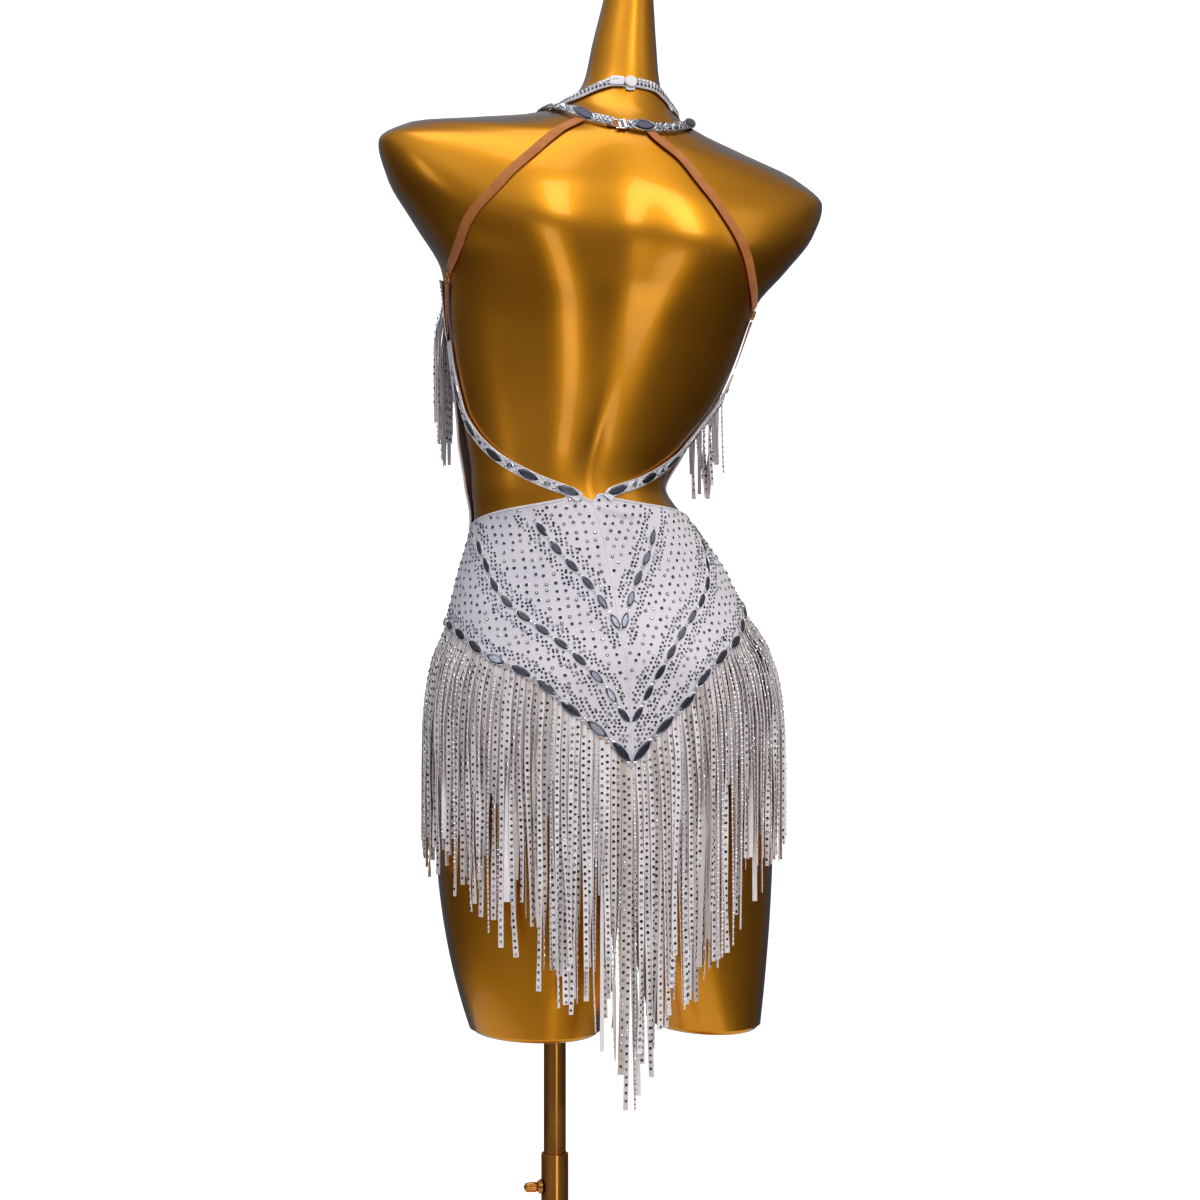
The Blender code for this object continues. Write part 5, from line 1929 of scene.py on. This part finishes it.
def build_choker_clasp(finishes):
    """The choker's clasp: a long plate with an oval recess, a round snap and the tab under it."""
    level = edge_curve(UPPER_BAND)(0)
    half_wide, half_tall = TAB_SIZE[0] / 2 + 0.0018, TAB_SIZE[1] / 2 - 0.0002
    top = TAB_SIZE[2] / 2
    outer = plate_outline(half_wide, half_tall, 5.0)
    oval = [(x - 0.0012, y) for x, y in plate_outline(0.0034, 0.0024, 2.2)]

    loops = [outline_loop(shape, scale, z) for shape, scale, z in (
        (outer, 0.97, -top), (outer, 1.0, -top + 0.0004), (outer, 1.0, top - 0.0006),
        (outer, 0.965, top - 0.0001), (outer, 0.92, top), (oval, 1.0, top),
        (oval, 0.94, top - 0.0003), (oval, 0.88, top - 0.0007), (oval, 0.3, top - 0.0007),
    )]
    mesh = lofted("choker clasp plate", loops)
    plate = new_piece("choker clasp plate", mesh, finishes["plastic"])
    plate.data.transform(body_matrix(level, TAB_ANGLE - 0.6, STRAP_GAP + top, -4))
    dress_piece(plate, "clasp_white", "upper_clasp_tab")

    profile = [(0, SNAP_HEIGHT - 0.0002), (0.0026, SNAP_HEIGHT - 0.0001), (0.0040, SNAP_HEIGHT)]
    for k in range(1, 7):
        turn = math.radians(15 * k)
        profile.append((
            SNAP_RADIUS - 0.0016 + 0.0016 * math.sin(turn),
            SNAP_HEIGHT - 0.0016 + 0.0016 * math.cos(turn),
        ))
    profile += [(SNAP_RADIUS - 0.0003, 0.0004), (SNAP_RADIUS - 0.0008, 0), (0, 0)]
    snap = new_piece("choker snap", turned("choker snap", profile), finishes["plastic"])
    snap.data.transform(body_matrix(level, SNAP_ANGLE, STRAP_GAP))
    dress_piece(snap, "clasp_white", "upper_clasp_snap")

    tongue = plate_outline(0.0048, 0.0021, 3.2)
    loops = [outline_loop(tongue, scale, z) for scale, z in (
        (0.94, 0.0), (1.0, 0.0003), (1.0, 0.0009), (0.93, 0.0012), (0.5, 0.0013),
    )]
    tab = new_piece("choker snap tab", lofted("choker snap tab", loops), finishes["plastic"])
    tab.data.transform(body_matrix(level - 0.0066, SNAP_ANGLE, STRAP_GAP - 0.0008))
    dress_piece(tab, "clasp_white")


def buckle_mesh():
    """Two upright bars joined by two wires."""
    half_wide, half_tall = BUCKLE_HALF
    work = bmesh.new()
    for x, wide, tall, deep in (
        (-0.0012, 0.0014, half_tall - 0.0002, 0.0016),
        (half_wide - 0.0010, 0.0014, half_tall, 0.0017),
    ):
        outline = plate_outline(wide, tall, 6.0, 32)
        loops = [
            [Vector((x + px * s, py * s, z)) for px, py in outline]
            for s, z in ((0.92, -deep), (1.0, -deep * 0.7), (1.0, deep * 0.5), (0.86, deep))
        ]
        join_rings(work, vert_loops(work, loops), True)
    rolls = [2 * math.pi * j / 10 for j in range(10)]
    for y in (-half_tall + 0.0012, half_tall - 0.0012):
        rings = [
            [
                (-half_wide + 2 * half_wide * share, y + 0.0009 * math.cos(roll),
                 0.0009 * math.sin(roll) - 0.0002)
                for roll in rolls
            ]
            for share in spread(20)
        ]
        join_rings(work, vert_loops(work, rings), True)
    return finished_mesh("halter buckle", work, 40)


def build_halter_clasp(finishes):
    """The halter's steel buckle on its elastic, with four stones."""
    place = body_matrix(HALTER_LEVEL, BUCKLE_ANGLE, STRAP_GAP + BUCKLE_WIRE)
    mesh = buckle_mesh()
    mesh.transform(place)
    buckle = new_piece("halter buckle", mesh, finishes["steel"])
    dress_piece(buckle, "buckle_steel", "lower_clasp")

    rows = [(-18.5, HALTER_LEVEL), (-9, HALTER_LEVEL - 0.0001), (1.5, HALTER_LEVEL)]
    strip = ribbon_path(rows, 20, STRAP_GAP + 0.0002, 0.0088)
    loop = sweep_bands("halter elastic", [strip], finishes["tan"], 0.09, 0.03)
    dress_piece(loop, "tan_elastic")
    out = (place.to_3x3() @ Vector((0, 0, 1))).normalized()
    along = (place.to_3x3() @ Vector((1, 0, 0))).normalized()
    spots = [
        Spot(place @ Vector((x - 0.0002, y, 0.0001)), out, along, (0.0013, 0.0022, 0.0016))
        for x in (0.0011, 0.0034) for y in (-0.0026, 0.0026)
    ]
    set_stones("halter buckle stones", spots, "field", "dark", finishes, 70)


# ======== studio ========
SoftBox = namedtuple("SoftBox", "name azimuth rise reach wide tall radiance colour")
SOFT_BOXES = [
    SoftBox("key soft box", 31, 32, 2.6, 0.55, 1.25, 2.9, (1.0, 0.98, 0.95)),
    SoftBox("low soft box", 19, -13, 2.6, 0.6, 1.1, 1.6, (1.0, 0.98, 0.95)),
    SoftBox("left soft box", -52, 8, 2.6, 0.5, 0.8, 1.0, (1.0, 1.0, 1.0)),
    SoftBox("right soft box", 66, 22, 2.6, 1.00, 1.50, 0.42, (1.0, 1.0, 1.0)),
    SoftBox("top soft box", 0, 78, 1.9, 1.8, 1.2, 1.1, (1.0, 1.0, 1.0)),
]
BOXES_AIM = Vector((0.03, 0.0, 1.10))


def build_floor():
    """A round pale floor."""
    work = bmesh.new()
    bmesh.ops.create_circle(work, cap_ends=True, segments=96, radius=1.35)
    mesh = bpy.data.meshes.new("floor")
    work.to_mesh(mesh)
    work.free()
    floor = new_piece("floor", mesh, studio_floor())


def as_share(tree, value):
    """A value from -1 to 1 as a share."""
    feeds = {"Value": value, "From Min": -1.0, "From Max": 1.0}
    return add_node(tree, "ShaderNodeMapRange", feeds).outputs["Result"]


def towards(tree, direction, heading):
    """How far a direction of the sky turns to a level heading, as a share."""
    return as_share(tree, add_node(
        tree, "ShaderNodeVectorMath", {0: direction, 1: (*heading, 0.0)}, operation="DOT_PRODUCT"
    ).outputs["Value"])


def light_path(tree, ray):
    """Whether the light is followed by a kind of ray."""
    return add_node(tree, "ShaderNodeLightPath").outputs[ray]


def build_sky():
    """A pale surround: darker below, and cooler and dimmer to the left in diffuse light."""
    world = bpy.data.worlds.new("studio")
    bpy.context.scene.world = world
    world.use_nodes = True
    tree = world.node_tree
    tree.nodes.clear()
    direction = add_node(tree, "ShaderNodeTexCoord").outputs["Generated"]
    height = add_node(tree, "ShaderNodeSeparateXYZ", {"Vector": direction}).outputs["Z"]
    near = towards(tree, direction, (math.sin(CAMERA_TURN), -math.cos(CAMERA_TURN)))
    left = towards(tree, direction, (-math.cos(CAMERA_TURN), -math.sin(CAMERA_TURN)))
    tall = ramp(tree, as_share(tree, height), [
        (0.0, grey(0.07)), (0.40, (0.12, 0.115, 0.118)), (0.48, (0.20, 0.195, 0.198)),
        (0.61, (0.24, 0.237, 0.24)), (0.72, grey(0.48)), (0.86, grey(0.55)), (1.0, grey(0.60)),
    ])
    round_about = ramp(tree, near, [
        (0.0, grey(0.66)), (0.15, grey(0.50)), (0.28, grey(0.36)), (0.60, grey(0.62)),
        (0.88, grey(0.95)), (1.0, grey(1.0)),
    ])
    shaded = ramp(tree, left, [
        (0.0, (2.15, 2.08, 2.02)), (0.5, (1.98, 1.95, 1.95)), (0.75, (1.10, 1.12, 1.20)),
        (1.0, (0.70, 0.73, 0.86)),
    ])
    gloss = ramp(tree, left, [
        (0.0, grey(0.92)), (0.33, grey(0.80)), (0.50, grey(0.86)), (0.70, grey(1.12)),
        (1.0, grey(1.0)),
    ])
    plain_sky = mix_colours(tree, 1.0, tall, round_about, "MULTIPLY")
    sided = mix_colours(tree, 1.0, plain_sky, gloss, "MULTIPLY")
    soft = mix_colours(tree, light_path(tree, "Is Diffuse Ray"), sided, shaded, "MULTIPLY")
    lit = add_node(tree, "ShaderNodeBackground", {"Color": soft, "Strength": 1.4})
    plain = add_node(tree, "ShaderNodeBackground", {"Color": (1, 1, 1, 1), "Strength": 1.0})
    choice = add_node(tree, "ShaderNodeMixShader", {
        0: light_path(tree, "Is Camera Ray"), 1: lit.outputs["Background"],
        2: plain.outputs["Background"],
    })
    end = add_node(tree, "ShaderNodeOutputWorld")
    tree.links.new(choice.outputs["Shader"], end.inputs["Surface"])


def build_soft_boxes():
    """The lamps, each turned to the middle of the dress."""
    for box in SOFT_BOXES:
        light = bpy.data.lights.new(box.name, "AREA")
        light.shape = "RECTANGLE"
        light.size, light.size_y = box.wide, box.tall
        light.energy = math.pi * box.wide * box.tall * box.radiance
        light.color = box.colour
        lamp = bpy.data.objects.new(box.name, light)
        bpy.context.scene.collection.objects.link(lamp)
        across = CAMERA_TURN + math.radians(box.azimuth)
        rise = math.radians(box.rise)
        away = Vector((
            math.sin(across) * math.cos(rise), -math.cos(across) * math.cos(rise), math.sin(rise)
        ))
        lamp.location = BOXES_AIM + away * box.reach
        lamp.rotation_euler = away.to_track_quat("Z", "Y").to_euler()
        lamp.visible_camera = False


def place_camera():
    """The camera, level, a little to the wearer's left of the back."""
    data = bpy.data.cameras.new("camera")
    data.sensor_width = CAMERA_SENSOR
    data.lens = CAMERA_LENS
    data.clip_end = 50.0
    camera = bpy.data.objects.new("camera", data)
    bpy.context.scene.collection.objects.link(camera)
    away = Vector((math.sin(CAMERA_TURN), -math.cos(CAMERA_TURN), 0.0))
    camera.location = CAMERA_AIM + away * CAMERA_REACH
    camera.rotation_euler = away.to_track_quat("Z", "Y").to_euler()
    bpy.context.scene.camera = camera
    bpy.context.scene.view_settings.view_transform = "Standard"
    bpy.context.scene.view_settings.look = "Medium High Contrast"


# ======== the whole ========
SIDES = (("left", -1), ("right", 1))


def trim_yokes(finishes, along):
    """Stones, bindings and seams of the two yokes."""
    for number, (word, sign) in enumerate(SIDES):
        first, last = (-SIDE_SEAM, -0.3) if sign < 0 else (0.3, SIDE_SEAM)
        region = (YOKE_HEM_AT, YOKE_TOP_AT, first, last, on_dress, 0.0035)
        along["yoke " + word] += build_panel_stones(
            "yoke " + word, BACK_CHAINS, region, YOKE_HEM, finishes, 10 + number
        )
        angles = between(first, last, 110)
        edges = [
            edge_path(YOKE_TOP_AT, angles, on_dress, -0.0008, 0.0026),
            edge_path(YOKE_TOP_AT, angles, on_dress, -0.0046, 0.0009),
        ]
        along["yoke " + word].append(piping("yoke binding " + word, edges, finishes))
        seams = [
            rise_path(sign * 0.42, YOKE_HEM_AT(0) + 0.004, YOKE_TOP_AT(0) - 0.001, 0.0019),
            rise_path(
                sign * (SIDE_SEAM - 0.5), YOKE_HEM_AT(96) + 0.002, YOKE_TOP_AT(96) - 0.001, 0.0016
            ),
        ]
        along["yoke " + word].append(piping("yoke seam " + word, seams, finishes))


def trim_front(finishes, along):
    """Stones and bindings of the front."""
    region = (FRONT_HEM_AT, FRONT_TOP_AT, SIDE_SEAM + 0.5, 360 - SIDE_SEAM - 0.5, on_dress, 0.0045)
    along["front"] += build_panel_stones(
        "front", FRONT_CHAINS, region, FRONT_HEM, finishes, 20
    )
    edges = [
        rise_path(angle, YOKE_TOP_AT(96) + 0.001, FRONT_TOP_AT(96) - 0.001, 0.0024)
        for angle in (SIDE_SEAM + 0.7, 360 - SIDE_SEAM - 0.7)
    ]
    angles = between(SIDE_SEAM + 0.5, 359.5 - SIDE_SEAM, 160)
    edges.append(edge_path(FRONT_TOP_AT, angles, on_dress, -0.0010, 0.0022))
    along["front"].append(piping("front binding", edges, finishes))


def trim_cups(finishes, along):
    """Small stones and the top binding of each cup."""
    for number, (word, sign) in enumerate(SIDES):
        first, last = (-CUP_CENTRE, -CUP_SIDE) if sign < 0 else (CUP_SIDE, CUP_CENTRE)
        region = (CUP_FOOT_AT, CUP_TOP_AT, first + 0.3, last - 0.3, on_cup, 0.0028)
        spots = scatter(0.0046, 0.0006, (0.0011, 0.0017), region, lambda _: True, 30 + number)
        along["cup " + word].append(
            set_stones("cup stones " + word, spots, "small", "crystal", finishes, 30 + number)
        )
        edge = edge_path(CUP_TOP_AT, between(first, last, 70), on_cup, -0.0008, 0.0024)
        along["cup " + word].append(piping("cup binding " + word, [edge], finishes))


def hang_hip_fringe(finishes, along):
    """The long fringe under both V hems."""
    count = int(arc_length(-SIDE_SEAM, SIDE_SEAM, FRINGE_LEVEL) / TAPE_PITCH)
    behind = (-SIDE_SEAM + 0.6, SIDE_SEAM - 0.6)
    in_front = (SIDE_SEAM + 0.6, 359.4 - SIDE_SEAM)
    for word, panel, ends, hem, foot, seed in (
        ("back", "yoke left", behind, YOKE_HEM_AT, FRINGE_END, 80),
        ("front", "front", in_front, FRONT_HEM_AT, FRONT_FRINGE_END, 90),
    ):
        angles = spaced_angles(*ends, count, FRINGE_LEVEL)
        curtain = Curtain(angles, DRESS_TURN, hem, edge_curve(foot), FRINGE_GAP)
        along[panel] += hang_fringe(
            word + " fringe", curtain, HIP_LAYERS, finishes, "hip_fringe_" + word, seed
        )


def hang_bust_fringe(finishes, along):
    """The short fringe from each cup."""
    for number, (word, sign) in enumerate(SIDES):
        start, end = BUST_FRINGE_START[word], BUST_FRINGE_TOP[-1].angle
        count = int(arc_length(start, end, BUST_LEVEL) / TAPE_PITCH)
        angles = [sign * angle for angle in spaced_angles(start, end, count, BUST_LEVEL)]
        curtain = Curtain(
            angles, 0.0, edge_curve(BUST_FRINGE_TOP), edge_curve(BUST_FRINGE_END), BUST_FRINGE_GAP
        )
        along["cup " + word] += hang_fringe(
            "bust fringe " + word, curtain, BUST_LAYERS, finishes, "bust_fringe_" + word,
            100 + number,
        )


def build_dress(finishes):
    """Cloth, stones, fringe, straps and clasps; returns the panels and what rides on each."""
    panels = build_panels(finishes["knit"])
    along = {word: [] for word in panels}
    trim_yokes(finishes, along)
    trim_front(finishes, along)
    trim_cups(finishes, along)
    hang_hip_fringe(finishes, along)
    hang_bust_fringe(finishes, along)
    build_straps(finishes)
    build_choker(finishes)
    build_halter(finishes)
    build_choker_clasp(finishes)
    build_halter_clasp(finishes)
    return panels, along


def declare_cloth(panels, along):
    """Goes over each sheet's list of riding pieces; no flat sizes are declared here.
    Round estimates, not a worked-out cut.
    """
    for word in ("left", "right"):
        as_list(along["yoke " + word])
        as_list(along["cup " + word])
    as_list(along["front"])


finishes = {
    "gold": gold_lacquer(),
    "bronze": bronze_tube(),
    "knit": white_stretch(),
    "binding": edge_binding(),
    "tape": fringe_tape(),
    "silver": silver_rim(),
    "cluster": crystal_cluster(),
    "crystal": stone_facets(
        "crystal stone", (0.05, 0.055, 0.08), (0.12, 0.13, 0.17), (0.95, 0.94, 0.96),
        0.10, 0.45, 0.55,
    ),
    "close": stone_facets(
        "close stone", (0.05, 0.055, 0.08), (0.16, 0.17, 0.22), (0.92, 0.92, 0.95),
        0.10, 0.22, 0.75,
    ),
    "tape stone": stone_facets(
        "tape stone", (0.03, 0.032, 0.045), (0.09, 0.095, 0.12), (0.95, 0.94, 0.95),
        0.08, 0.30, 0.70,
    ),
    "bright": stone_facets(
        "bright stone", (0.55, 0.56, 0.62), (0.80, 0.81, 0.86), (0.95, 0.95, 0.97)
    ),
    "dark": stone_facets(
        "dark stone", (0.05, 0.055, 0.08), (0.10, 0.11, 0.15), (0.30, 0.32, 0.40)
    ),
    "slate": stone_facets(
        "slate navette", (0.10, 0.105, 0.14), (0.17, 0.18, 0.23), (0.30, 0.32, 0.39), 0.16, 0.15
    ),
    "smoke": stone_facets(
        "smoke oval", (0.16, 0.17, 0.21), (0.34, 0.35, 0.41), (0.80, 0.80, 0.85), 0.12, 0.30
    ),
    "tan": tan_elastic(),
    "brass": ring_brass(),
    "plastic": clasp_plastic(),
    "steel": buckle_steel(),
}
TREES = {"stones": stone_tree(), "band": band_tree()}
SHAPES = stone_shapes()

build_floor()
build_sky()
build_soft_boxes()
place_camera()
build_stand(finishes["bronze"])
build_thumb_screw(finishes["bronze"])
build_form(finishes["gold"])
panels, along = build_dress(finishes)
declare_cloth(panels, along)
for shape in SHAPES.values():
    bpy.data.objects.remove(shape, do_unlink=True)
